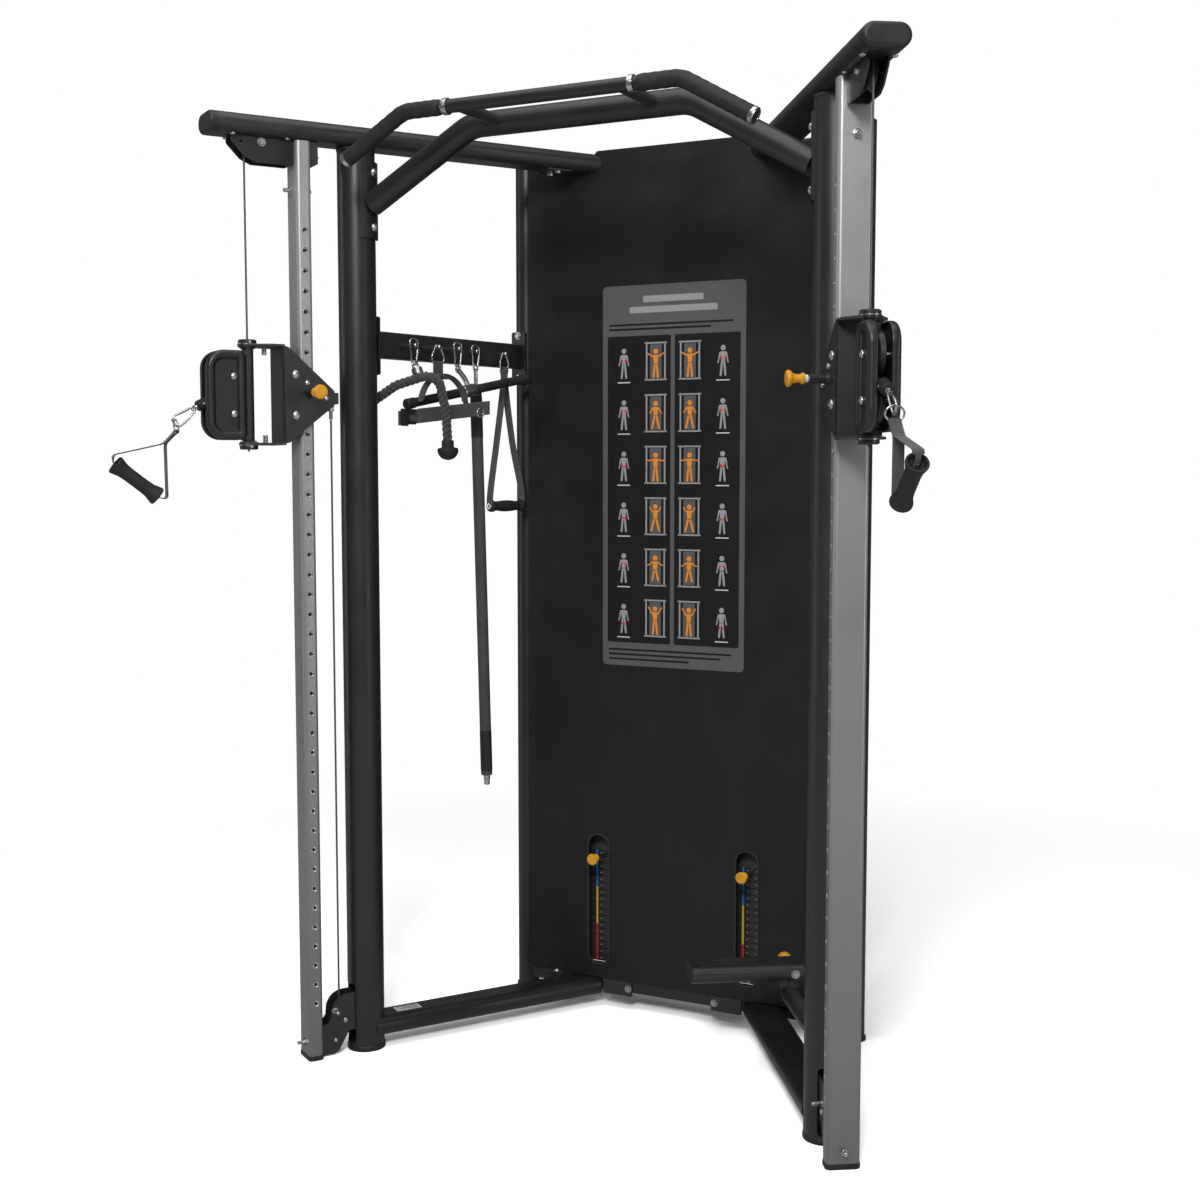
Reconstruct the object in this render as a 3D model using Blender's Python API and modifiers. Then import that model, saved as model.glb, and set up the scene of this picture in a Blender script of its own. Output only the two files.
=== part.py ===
"""Cable crossover machine: a weight-stack tower and two splayed wings, each with a movable pulley carriage.

World frame: metres, +Z up, the floor at Z = 0, the front face of the tower's shroud on Y = 0, the user in
front of it at negative Y, and the machine symmetric about X = 0 apart from its accessories and foot rest.
Each wing is built once in a local frame (x outwards along the wing, y towards the user, z up) that hangs on
an empty; the right wing's empty mirrors the left one's.
"""

import math

import bmesh
import bpy
from mathutils import Matrix, Vector

GAP = 0.0003  # clearance between neighbouring pieces
FACETS = 24  # sides of a large round tube

# Wings, seen from above
WING_ANGLE = math.radians(33)  # between a wing and the machine's centre plane
WING_X = 0.275  # where a wing's centre line crosses the tower's front face
TUBE_INNER = -0.040  # inner ends of the beams and base tubes along the wing
POST_S = 0.652
POST_RADIUS = 0.0475
COLUMN_S = 0.802
COLUMN_ALONG = 0.038
COLUMN_ACROSS = 0.076
COLUMN_CORNER = 0.010
BEAM_END = 1.038

# Flat oval tube of the beams, base tubes and foot rest
OVAL_WIDTH = 0.100
OVAL_HEIGHT = 0.050
BEAM_TOP = 2.365
BEAM_BOTTOM = BEAM_TOP - OVAL_HEIGHT
BASE_TUBE_Z = 0.058

# Tower
SHROUD_HALF = 0.442
SHROUD_BOTTOM = 0.0853
SHROUD_TOP = 2.372
SHROUD_DEPTH = 0.165
SHROUD_SPLIT = 0.080
SHEET = 0.003
REAR_POST_X = 0.4955
REAR_POST_Y = 0.0845
REAR_POST_RADIUS = 0.030
REAR_POST_TOP = 2.400
SLOT_X = 0.222
SLOT_WIDTH = 0.060
SLOT_BOTTOM = 0.128
SLOT_TOP = 0.492

# Weight stacks
PLATE_PITCH = 0.019
PLATE_COUNT = 17
STACK_Z = 0.1185
STACK_Y = 0.095
PLATE_DEPTH = 0.100
PLATE_WIDTH = 0.250
ROD_SPREAD = 0.090
ROD_RADIUS = 0.010
SELECTOR_RADIUS = 0.0045
STACK_TOP = STACK_Z + PLATE_COUNT * PLATE_PITCH
PIN_Z = STACK_TOP - PLATE_PITCH / 2
KNOB_Y = -0.019

# Adjustment column and carriage
HOLE_PITCH = 0.050
HOLE_LOWEST = 0.150
HOLE_COUNT = 40
HOLE_RADIUS = 0.0065
CARRIAGE_Z = 1.700
SWIVEL_S = 0.940
PULLEY_S = 0.983
PULLEY_RADIUS = 0.0445
GROOVE_RADIUS = 0.0400
PULLEY_RISE = 0.0455  # of each swivel pulley above or below the handle cable
CABLE_EXIT_Z = CARRIAGE_Z - 0.008
CABLE_RADIUS = 0.0025
CLEVIS_S = 0.727
TOP_PULLEY = (0.902, 2.303)
TOP_PULLEY_RADIUS = 0.0410
TOP_GROOVE_RADIUS = 0.0355
LOWER_PULLEY = (0.694, 0.098)
LOWER_PULLEY_RADIUS = 0.0355
LOWER_GROOVE_RADIUS = 0.0300
PIVOT = (1.118, 1.624)  # where the handle's ring hangs in the snap hook

# Pull-up bar
BAR_Y = -0.546
BAR_Z = 2.340
MAIN_RADIUS = 0.030
GRIP_Y = -0.742
GRIP_RADIUS = 0.016

# Foot rest
STEP_S = 0.275
STEP_HEIGHT = 0.042
STEP_PIVOT = (-0.0075, 0.2720)
LEG_Z = 0.2125

# Accessory rack between the left front post and the left rear post
RACK_Z = 1.832
RACK_HEIGHT = 0.068
RACK_DEPTH = 0.040
PEG_RADIUS = 0.005
PEG_REACH = 0.082
PEGS = (0.131, 0.216, 0.288, 0.390, 0.505)

machine = bpy.data.collections.new("cable_crossover_machine")
cutters = bpy.data.collections.new("cutters")


# ---------------------------------------------------------------- shapes


def clear_scene():
    for obj in list(bpy.data.objects):
        bpy.data.objects.remove(obj, do_unlink=True)
    bpy.context.scene.collection.children.link(machine)
    bpy.context.scene.collection.children.link(cutters)
    cutters.hide_render = True


def material(name, colour, roughness, metallic=0.0):
    made = bpy.data.materials.new(name)
    made.use_nodes = True
    shader = made.node_tree.nodes["Principled BSDF"]
    shader.inputs["Base Color"].default_value = (*colour, 1.0)
    shader.inputs["Roughness"].default_value = roughness
    shader.inputs["Metallic"].default_value = metallic
    return made


def mesh_from(bm, name="shape"):
    bmesh.ops.recalc_face_normals(bm, faces=bm.faces)
    mesh = bpy.data.meshes.new(name)
    bm.to_mesh(mesh)
    bm.free()
    return mesh


def box(low, high):
    bm = bmesh.new()
    bmesh.ops.create_cube(bm, size=1.0)
    size = Vector(high) - Vector(low)
    centre = (Vector(high) + Vector(low)) / 2
    bmesh.ops.transform(bm, matrix=Matrix.Translation(centre) @ Matrix.Diagonal((*size, 1.0)), verts=bm.verts)
    return mesh_from(bm)


def cylinder(start, end, radius, sides=FACETS, end_radius=None):
    start, end = Vector(start), Vector(end)
    along = end - start
    bm = bmesh.new()
    bmesh.ops.create_cone(bm, cap_ends=True, segments=sides, radius1=radius,
                          radius2=radius if end_radius is None else end_radius, depth=along.length)
    turn = along.to_track_quat("Z", "Y").to_matrix().to_4x4()
    bmesh.ops.transform(bm, matrix=Matrix.Translation((start + end) / 2) @ turn, verts=bm.verts)
    return mesh_from(bm)


def ball(centre, radius):
    bm = bmesh.new()
    bmesh.ops.create_uvsphere(bm, u_segments=12, v_segments=8, radius=radius)
    bmesh.ops.translate(bm, vec=Vector(centre), verts=bm.verts)
    return mesh_from(bm)


def mesh_of_curve(data):
    """The curve as a closed mesh, its loose caps welded."""
    holder = bpy.data.objects.new("curve", data)
    bpy.context.scene.collection.objects.link(holder)
    graph = bpy.context.evaluated_depsgraph_get()
    mesh = bpy.data.meshes.new_from_object(holder.evaluated_get(graph), depsgraph=graph)
    bpy.data.objects.remove(holder)
    bpy.data.curves.remove(data)
    bm = bmesh.new()
    bm.from_mesh(mesh)
    bmesh.ops.remove_doubles(bm, verts=bm.verts, dist=0.00002)
    bpy.data.meshes.remove(mesh)
    return mesh_from(bm)


def poly_spline(data, points, cyclic):
    spline = data.splines.new("POLY")
    spline.points.add(len(points) - 1)
    for point, place in zip(spline.points, points):
        point.co = (*place, 1.0)
    spline.use_cyclic_u = cyclic


def prism(outline, thickness, matrix):
    """A flat outline with a thickness along its own Z, centred, then placed by the matrix."""
    data = bpy.data.curves.new("outline", "CURVE")
    data.dimensions = "2D"
    data.fill_mode = "BOTH"
    data.extrude = thickness / 2
    poly_spline(data, [(x, y, 0.0) for x, y in outline], True)
    mesh = mesh_of_curve(data)
    mesh.transform(matrix)
    return mesh


def rod(points, radius, bevel_resolution=2, cyclic=False):
    """A round bar along a path."""
    data = bpy.data.curves.new("path", "CURVE")
    data.dimensions = "3D"
    data.bevel_depth = radius
    data.bevel_resolution = bevel_resolution
    data.use_fill_caps = not cyclic
    poly_spline(data, points, cyclic)
    return mesh_of_curve(data)


def turned(profile, centre, axis, steps=FACETS):
    """A ring: a closed profile of (radius, height) points turned about an axis through centre."""
    mesh = bpy.data.meshes.new("profile")
    count = len(profile)
    mesh.from_pydata([(r, 0.0, h) for r, h in profile], [(i, (i + 1) % count) for i in range(count)], [])
    holder = bpy.data.objects.new("profile", mesh)
    bpy.context.scene.collection.objects.link(holder)
    screw = holder.modifiers.new("turn", "SCREW")
    screw.steps = steps
    screw.render_steps = steps
    screw.use_merge_vertices = True
    screw.merge_threshold = 0.0001
    graph = bpy.context.evaluated_depsgraph_get()
    made = bpy.data.meshes.new_from_object(holder.evaluated_get(graph), depsgraph=graph)
    bpy.data.objects.remove(holder)
    bm = bmesh.new()
    bm.from_mesh(made)
    made = mesh_from(bm)
    turn = Vector(axis).to_track_quat("Z", "Y").to_matrix().to_4x4()
    made.transform(Matrix.Translation(Vector(centre)) @ turn)
    return made


def combine(first, others, operation="UNION"):
    """One mesh from several, joined or cut with exact Booleans."""
    base = bpy.data.objects.new("base", first)
    bpy.context.scene.collection.objects.link(base)
    helpers = []
    for other in others:
        helper = bpy.data.objects.new("helper", other)
        cutters.objects.link(helper)
        helpers.append(helper)
        step = base.modifiers.new(operation, "BOOLEAN")
        step.operation = operation
        step.solver = "EXACT"
        step.object = helper
    graph = bpy.context.evaluated_depsgraph_get()
    made = bpy.data.meshes.new_from_object(base.evaluated_get(graph), depsgraph=graph)
    for obj in (base, *helpers):
        bpy.data.objects.remove(obj)
    return made


def joined(*meshes):
    return combine(meshes[0], meshes[1:], "UNION")


def cut(mesh, *holes):
    return combine(mesh, holes, "DIFFERENCE")


# ---------------------------------------------------------------- outlines and paths


def arc(centre, radius, start, end, steps):
    """Points on an arc, angles in degrees."""
    angles = [math.radians(start + (end - start) * i / steps) for i in range(steps + 1)]
    return [(centre[0] + radius * math.cos(a), centre[1] + radius * math.sin(a)) for a in angles]


def rounded_rectangle(width, height, radius, steps=3):
    x, y = width / 2 - radius, height / 2 - radius
    corners = ((x, y, 0), (-x, y, 90), (-x, -y, 180), (x, -y, 270))
    return [p for cx, cy, a in corners for p in arc((cx, cy), radius, a, a + 90, steps)]


def flat_oval(width, height, steps=8):
    x = width / 2 - height / 2
    return arc((x, 0), height / 2, -90, 90, steps) + arc((-x, 0), height / 2, 90, 270, steps)


def bent(points, radius, steps=4):
    """The path with each inner corner replaced by an arc of the given bend radius."""
    path = [Vector(points[0])]
    for before, corner, after in zip(points, points[1:], points[2:]):
        corner = Vector(corner)
        a = (Vector(before) - corner).normalized()
        b = (Vector(after) - corner).normalized()
        half = a.angle(b) / 2
        centre = corner + (a + b).normalized() * (radius / math.sin(half))
        reach = radius / math.tan(half)
        first, last = corner + a * reach - centre, corner + b * reach - centre
        path.extend(centre + radius * first.slerp(last, i / steps).normalized() for i in range(steps + 1))
    path.append(Vector(points[-1]))
    return path


# Matrices that lay a prism's outline (X, Y) and thickness (Z) in a wing's frame
SIDE_ON = Matrix.Rotation(math.radians(90), 4, "X")  # outline in x and z, thickness along y
# outline in y and z, length along x
END_ON = Matrix(((0, 0, 1, 0), (1, 0, 0, 0), (0, 1, 0, 0), (0, 0, 0, 1)))


def side_plate(outline, inner, outer):
    """A plate in the x-z plane between two values of y."""
    return prism(outline, outer - inner, Matrix.Translation((0, (inner + outer) / 2, 0)) @ SIDE_ON)


def tube_along(outline, start, end, height):
    """A straight tube along x."""
    return prism(outline, end - start, Matrix.Translation(((start + end) / 2, 0, height)) @ END_ON)


# ---------------------------------------------------------------- placing


def add(name, mesh, look, parent=None, origin=(0.0, 0.0, 0.0)):
    """An object whose mesh is given in its parent's frame, with its own origin moved to a joint's axis."""
    mesh.name = name
    mesh.transform(Matrix.Translation(-Vector(origin)))
    obj = bpy.data.objects.new(name, mesh)
    machine.objects.link(obj)
    obj.parent = parent
    obj.location = origin
    if not mesh.materials:
        mesh.materials.append(look)
    mesh.materials[0] = look
    mesh.shade_smooth()
    mesh.set_sharp_from_angle(angle=math.radians(35))
    return obj


def add_pair(name, mesh, look, origin=(0.0, 0.0, 0.0)):
    """The same piece on the left wing and, mirrored, on the right wing."""
    made = add(name + "_left", mesh, look, wings["left"], origin)
    twin = bpy.data.objects.new(name + "_right", made.data)
    machine.objects.link(twin)
    twin.parent = wings["right"]
    twin.location = origin
    return made, twin


def wing_empty(side):
    empty = bpy.data.objects.new("wing_" + side, None)
    machine.objects.link(empty)
    mirror = -1 if side == "right" else 1
    empty.location = (-mirror * WING_X, 0, 0)
    empty.rotation_euler.z = -mirror * (math.radians(90) + WING_ANGLE)
    empty.scale.x = mirror
    return empty


def wing_point(s, w, z):
    """World place of a point of the left wing."""
    return wings["left"].matrix_world @ Vector((s, w, z))


def pulley(radius, groove, half_width, bore, centre):
    profile = [(bore, half_width), (radius, half_width), (groove, 0.003), (groove, -0.003),
               (radius, -half_width), (bore, -half_width)]
    return turned(profile, centre, (0, 1, 0), 20)


# ---------------------------------------------------------------- frame


def oval_cutter(start, end, height):
    return tube_along(flat_oval(OVAL_WIDTH + 2 * GAP, OVAL_HEIGHT + 2 * GAP), start, end, height)


def wing_beam():
    beam = tube_along(flat_oval(OVAL_WIDTH, OVAL_HEIGHT), TUBE_INNER, BEAM_END, BEAM_TOP - OVAL_HEIGHT / 2)
    x, z = TOP_PULLEY
    room = TOP_PULLEY_RADIUS + 0.003
    return cut(beam, box((x - room, -0.0125, BEAM_BOTTOM - 0.010), (x + room, 0.0125, z + room)))


def base_tube():
    tube = tube_along(flat_oval(OVAL_WIDTH, OVAL_HEIGHT), TUBE_INNER, POST_S, BASE_TUBE_Z)
    return cut(tube, cylinder((POST_S, 0, -0.1), (POST_S, 0, 0.3), POST_RADIUS + GAP))


def front_post():
    post = cylinder((POST_S, 0, 0.010), (POST_S, 0, BEAM_BOTTOM - GAP), POST_RADIUS)
    foot = cylinder((POST_S, 0, 0), (POST_S, 0, 0.014), POST_RADIUS + 0.002)
    x, z = LOWER_PULLEY
    slot = box((x - LOWER_PULLEY_RADIUS - 0.003, -0.0265, 0.020), (x + 0.1, 0.0265, z + 0.080))
    return cut(joined(post, foot), slot)


def adjustment_column():
    outline = rounded_rectangle(COLUMN_ALONG, COLUMN_ACROSS, COLUMN_CORNER)
    top = BEAM_BOTTOM - GAP
    shaft = prism(outline, top, Matrix.Translation((COLUMN_S, 0, top / 2)))
    face = COLUMN_ACROSS / 2
    holes = [cylinder((COLUMN_S, face - 0.010, HOLE_LOWEST + i * HOLE_PITCH),
                      (COLUMN_S, face + 0.010, HOLE_LOWEST + i * HOLE_PITCH), HOLE_RADIUS, 6)
             for i in range(HOLE_COUNT)]
    studs = [cylinder((COLUMN_S - reach, 0, z), (COLUMN_S + 0.040, 0, z), 0.006, 10)
             for reach, z in ((0.0, 0.042), (0.031, 2.198))]
    return joined(cut(shaft, *holes), *studs)


def top_pulley_bracket():
    outline = [(0.823, 2.254), (0.912, 2.254)] + arc((0.912, 2.279), 0.025, -80, -45, 2)
    outline += [(0.992, BEAM_BOTTOM - GAP), (0.823, BEAM_BOTTOM - GAP)]
    plates = [side_plate(outline, side * 0.020 - 0.002, side * 0.020 + 0.002) for side in (-1, 1)]
    x, z = TOP_PULLEY
    axle = cylinder((x, -0.026, z), (x, 0.026, z), 0.005, 12)
    spacer = box((0.824, -0.019, 2.256), (0.832, 0.019, 2.300))
    return joined(plates[0], plates[1], axle, spacer)


def lower_pulley_bracket():
    x, z = LOWER_PULLEY
    inner = COLUMN_S - COLUMN_ALONG / 2 - GAP
    outline = [(inner, 0.004), (inner, 0.083), (0.766, 0.086), (0.757, 0.098)]
    outline += arc((x + 0.016, z + 0.014), 0.046, 0, 90, 4)
    outline += [(0.668, z + 0.060), (0.668, 0.060), (0.707, 0.060), (0.735, 0.012), (0.750, 0.004)]
    plates = [side_plate(outline, side * 0.021 - 0.002, side * 0.021 + 0.002) for side in (-1, 1)]
    axle = cylinder((x, -0.0225, z), (x, 0.0225, z), 0.005, 12)
    web = box((0.766, -0.0205, 0.010), (inner, 0.0205, 0.070))
    return joined(plates[0], plates[1], axle, web)


def across(points):
    """Mirrors a left half path, from the left end to the middle, to the right."""
    return points + [(-x, y, z) for x, y, z in reversed(points)]


def pull_up_bar():
    side = POST_S * math.sin(WING_ANGLE) + WING_X - POST_RADIUS - GAP
    main = bent(across([(-side - 0.020, BAR_Y, 2.172), (-0.288, BAR_Y, BAR_Z)]), 0.10)
    grip = bent(across([(-0.520, GRIP_Y, 2.243), (-0.352, GRIP_Y, BAR_Z)]), 0.07)
    pieces = [rod(main, MAIN_RADIUS, 4), rod(grip, GRIP_RADIUS, 2)]
    pieces += [rod([(x, GRIP_Y, BAR_Z), (x, BAR_Y, BAR_Z)], 0.014, 2) for x in (-0.205, 0.205)]
    pieces += [box((min(a, b), BAR_Y - 0.035, 2.090), (max(a, b), BAR_Y + 0.035, 2.280))
               for a, b in ((-side - 0.005, -side + 0.008), (side - 0.008, side + 0.005))]
    ends = [box((min(a, b), -1, 2), (max(a, b), 0, 2.4)) for a, b in ((-1, -side), (side, 1))]
    return cut(joined(*pieces), *ends)


def tower_frame():
    """Two rear posts and the tubes welded across them."""
    posts = [cylinder((x, REAR_POST_Y, 0.008), (x, REAR_POST_Y, REAR_POST_TOP), REAR_POST_RADIUS, 20)
             for x in (-REAR_POST_X, REAR_POST_X)]
    feet = [cylinder((x, REAR_POST_Y, 0), (x, REAR_POST_Y, 0.012), REAR_POST_RADIUS + 0.004, 20)
            for x in (-REAR_POST_X, REAR_POST_X)]
    reach = REAR_POST_X - 0.010
    tubes = [box((-reach, 0.065, z), (reach, 0.104, z + 0.050)) for z in (0.030, BEAM_BOTTOM)]
    tabs = [box((min(a, b), 0.070, z), (max(a, b), 0.099, z + 0.040))
            for a, b in ((-reach, -SHROUD_HALF - GAP), (SHROUD_HALF + GAP, reach))
            for z in (0.25, 0.89, 2.21)]
    return joined(*posts, *feet, *tubes, *tabs)


def slot_cutter(x):
    outline = rounded_rectangle(SLOT_WIDTH, SLOT_TOP - SLOT_BOTTOM, 0.026, 3)
    place = Matrix.Translation((x, 0, (SLOT_TOP + SLOT_BOTTOM) / 2)) @ SIDE_ON
    return prism(outline, 0.020, place)


def front_shroud():
    """A folded sheet: its face, its two side returns, its upper corners stepped round the wing beams."""
    shoulder, neck = 2.345, 0.2395
    right = [(SHROUD_HALF, SHROUD_BOTTOM), (SHROUD_HALF, shoulder), (neck, shoulder),
             (neck, SHROUD_TOP - 0.012), (neck - 0.012, SHROUD_TOP)]
    face = side_plate(right + [(-x, z) for x, z in reversed(right)], 0, SHEET)
    returns = [box((min(a, b), 0.001, SHROUD_BOTTOM), (max(a, b), SHROUD_SPLIT - 0.002, BEAM_BOTTOM - 0.010))
               for a, b in ((-SHROUD_HALF, -SHROUD_HALF + SHEET), (SHROUD_HALF - SHEET, SHROUD_HALF))]
    body = joined(face, *returns)
    beams = []
    for wing in wings.values():
        beam = oval_cutter(-0.3, 0.3, BEAM_TOP - OVAL_HEIGHT / 2)
        beam.transform(wing.matrix_world)
        bm = bmesh.new()
        bm.from_mesh(beam)
        beams.append(mesh_from(bm))
    return cut(body, slot_cutter(-SLOT_X), slot_cutter(SLOT_X), *beams)


def rear_shroud():
    top = BEAM_BOTTOM - 0.010
    outer = box((-SHROUD_HALF, SHROUD_SPLIT, SHROUD_BOTTOM), (SHROUD_HALF, SHROUD_DEPTH, top))
    inner = box((-SHROUD_HALF + SHEET, 0, 0), (SHROUD_HALF - SHEET, SHROUD_DEPTH - SHEET, 3))
    crest = box((-SHROUD_HALF, SHROUD_DEPTH - SHEET, top - 0.02), (SHROUD_HALF, SHROUD_DEPTH, SHROUD_TOP))
    return joined(cut(outer, inner), crest)


def base_crossbar():
    bar = box((-0.188, 0.006, 0.0535), (0.188, 0.036, 0.0845))
    ends = [box((a, 0.0005, 0.043), (b, 0.0065, 0.0845)) for a, b in ((-0.208, -0.120), (0.120, 0.208))]
    return joined(bar, *ends)


def guide_rod_frame():
    """The four guide rods, held by a bar at the foot and one at the head."""
    places = [side * SLOT_X + shift for side in (-1, 1) for shift in (-ROD_SPREAD, ROD_SPREAD)]
    rods = [cylinder((x, STACK_Y, 0.085), (x, STACK_Y, 2.310), ROD_RADIUS, 12) for x in places]
    foot = box((-0.340, 0.070, 0.0803), (0.340, 0.120, 0.0903))
    head = box((-0.340, 0.070, 2.300), (0.340, 0.120, BEAM_BOTTOM - GAP))
    bumpers = [cylinder((x, STACK_Y, 0.086), (x, STACK_Y, STACK_Z - GAP), 0.019, 12) for x in places]
    return joined(foot, head, *rods, *bumpers)


# ---------------------------------------------------------------- weight stacks


def stack_bores(x):
    loose = ROD_RADIUS + 0.0015
    return [cylinder((x + shift, STACK_Y, 0), (x + shift, STACK_Y, 1), radius, 12)
            for shift, radius in ((-ROD_SPREAD, loose), (0, 0.013), (ROD_SPREAD, loose))]


def resting_plates(x):
    """The plates below the selector pin, as one block with a groove between each two."""
    front, back = STACK_Y - PLATE_DEPTH / 2, STACK_Y + PLATE_DEPTH / 2
    profile = []
    for i in range(PLATE_COUNT):
        low = STACK_Z + i * PLATE_PITCH
        profile += [(front, low), (front, low + PLATE_PITCH - 0.002)]
        if i < PLATE_COUNT - 1:
            profile += [(front + 0.003, low + PLATE_PITCH - 0.002), (front + 0.003, low + PLATE_PITCH)]
    outline = profile + [(back, STACK_TOP - 0.002), (back, STACK_Z)]
    block = prism(outline, PLATE_WIDTH, Matrix.Translation((x, 0, 0)) @ END_ON)
    entry = cylinder((x, 0, PIN_Z), (x, STACK_Y - 0.010, PIN_Z), SELECTOR_RADIUS + 0.001, 8)
    return cut(block, entry, *stack_bores(x))


def lifted_plate(x):
    """The head plate, with the rod that hangs from it through the other plates."""
    front, back = STACK_Y - PLATE_DEPTH / 2, STACK_Y + PLATE_DEPTH / 2
    half = PLATE_WIDTH / 2
    plate = box((x - half, front, STACK_TOP - 0.0015), (x + half, back, STACK_TOP + 0.036))
    bores = stack_bores(x)
    body = cut(plate, bores[0], bores[2])
    spine = cylinder((x, STACK_Y, STACK_Z + 0.020), (x, STACK_Y, STACK_TOP + 0.010), 0.011, 12)
    lug = cylinder((x, STACK_Y, STACK_TOP + 0.030), (x, STACK_Y, STACK_TOP + 0.062), 0.012, 12)
    return joined(body, spine, lug)


def selector_pin(x):
    """A pin that stands in the top resting plate, clear of the rod, with its knob in front of the shroud."""
    knob = turned([(0.003, 0), (0.011, 0), (0.009, 0.008), (0.016, 0.019), (0.014, 0.026), (0.003, 0.026)],
                  (x, KNOB_Y, PIN_Z), (0, -1, 0), 16)
    pin = cylinder((x, KNOB_Y - 0.020, PIN_Z), (x, STACK_Y - 0.014, PIN_Z), SELECTOR_RADIUS, 8)
    return joined(knob, pin)


# ---------------------------------------------------------------- carriage and swivel


def carriage():
    half, z = 0.050, CARRIAGE_Z - 0.005
    upper = [(0.866, z + 0.120), (0.734, z + 0.012), (0.734, z - 0.023), (0.866, z - 0.120)]
    plates = [side_plate(upper, low, high) for low, high in ((-half, -half + 0.005), (half - 0.005, half))]
    web = box((0.861, -half, z - 0.120), (0.866, half, z + 0.120))
    flange = [(0.861, -half), (0.895, -half), (0.948, -0.022)] + arc((SWIVEL_S, 0), 0.024, -60, 60, 4)
    flange += [(0.948, 0.022), (0.895, half), (0.861, half)]
    flanges = [prism(flange, 0.006, Matrix.Translation((0, 0, z + side * 0.120))) for side in (-1, 1)]
    collars = [cylinder((SWIVEL_S, 0, z + a), (SWIVEL_S, 0, z + b), 0.0225, 20)
               for a, b in ((0.115, 0.134), (-0.134, -0.115))]
    pegs = [cylinder((0.898, 0, z + a), (0.898, 0, z + b), 0.006, 10)
            for a, b in ((0.098, 0.118), (-0.118, -0.098))]
    axles = ((0.834, 0.050, 0.0125), (0.834, -0.050, 0.0125), (0.7715, -0.006, 0.011))
    rollers = [cylinder((x, -half + 0.001, z + rise), (x, half - 0.001, z + rise), radius, 12)
               for x, rise, radius in axles]
    clevis = [box((0.7225, -half + 0.001, z - 0.020), (0.7395, half - 0.001, z + 0.008)),
              cylinder((CLEVIS_S, 0, z - 0.057), (CLEVIS_S, 0, z - 0.010), 0.0065, 10)]
    barrel = cylinder((COLUMN_S, half - 0.001, CARRIAGE_Z), (COLUMN_S, 0.092, CARRIAGE_Z), 0.010, 12)
    body = joined(web, *plates, *flanges, *collars, *pegs, *rollers, *clevis, barrel)
    bore = cylinder((SWIVEL_S, 0, 1.5), (SWIVEL_S, 0, 1.9), 0.006, 10)
    pin_bore = cylinder((COLUMN_S, 0, CARRIAGE_Z), (COLUMN_S, 0.2, CARRIAGE_Z), 0.0062, 10)
    return cut(body, bore, pin_bore)


def carriage_pin():
    """The spring pin that enters a hole of the column, with its pull knob."""
    y = 0.0995
    knob = turned([(0.003, 0), (0.012, 0), (0.009, 0.010), (0.010, 0.024), (0.018, 0.034), (0.016, 0.040),
                   (0.003, 0.040)], (COLUMN_S, y, CARRIAGE_Z), (0, 1, 0), 16)
    face = COLUMN_ACROSS / 2 + GAP
    pin = cylinder((COLUMN_S, face, CARRIAGE_Z), (COLUMN_S, y + 0.030, CARRIAGE_Z), 0.0055, 10)
    return joined(knob, pin)


def swivel_housing():
    """The hollow swivel tube and two dished shells around the pulleys."""
    low, high, outer = CABLE_EXIT_Z - 0.108, CABLE_EXIT_Z + 0.109, 1.051
    tube = cylinder((SWIVEL_S, 0, CARRIAGE_Z - 0.1194), (SWIVEL_S, 0, CARRIAGE_Z + 0.1094), 0.0125, 16)
    hollow = cylinder((SWIVEL_S, 0, 1.5), (SWIVEL_S, 0, 1.9), 0.0075, 12)
    window = box((SWIVEL_S - 0.003, -0.0106, low + 0.016), (SWIVEL_S + 0.05, 0.0106, high - 0.016))

    def shell_outline(inset):
        radius = 0.045 - inset
        right, top, bottom = outer - inset, high - inset, low + inset
        return ([(0.9535 + inset, bottom)] + arc((right - radius, bottom + radius), radius, -90, 0, 4)
                + arc((right - radius, top - radius), radius, 0, 90, 4) + [(0.9535 + inset, top)])

    shells = []
    for side in (-1, 1):
        near, far = sorted((side * 0.0148, side * 0.0345))
        inner_near, inner_far = sorted((side * 0.010, side * 0.0315))
        shells.append(cut(side_plate(shell_outline(0), near, far),
                          side_plate(shell_outline(0.003), inner_near, inner_far)))
    lugs = [box((0.936, -0.0160, z), (0.958, 0.0160, z + 0.012)) for z in (low, high - 0.012)]
    axles = [cylinder((PULLEY_S, -0.034, z), (PULLEY_S, 0.034, z), 0.005, 10)
             for z in (CABLE_EXIT_Z - PULLEY_RISE, CABLE_EXIT_Z + PULLEY_RISE)]
    body = joined(tube, *shells, *lugs, *axles)
    return cut(body, hollow, window)


def cable_stop():
    tilt = Vector((math.cos(math.radians(25)), 0, -math.sin(math.radians(25))))
    start = Vector((1.036, 0, CABLE_EXIT_Z - 0.014))
    return cylinder(start, start + tilt * 0.036, 0.0135, 14)


def snap_hook():
    """A pear-shaped wire loop from the cable stop to the handle's ring."""
    near = Vector((1.0735, 0, CABLE_EXIT_Z - 0.034))
    far = Vector((PIVOT[0] + 0.001, 0, PIVOT[1] + 0.001))
    along = (far - near).normalized()
    up = Vector((-along.z, 0, along.x))
    loop = [(0.0, -0.005), (0.0, 0.005)] + arc(((far - near).length - 0.010, 0), 0.0145, 100, -100, 8)
    return rod([near + along * (x + 0.003) + up * y for x, y in loop], 0.0027, 1, cyclic=True)


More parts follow.
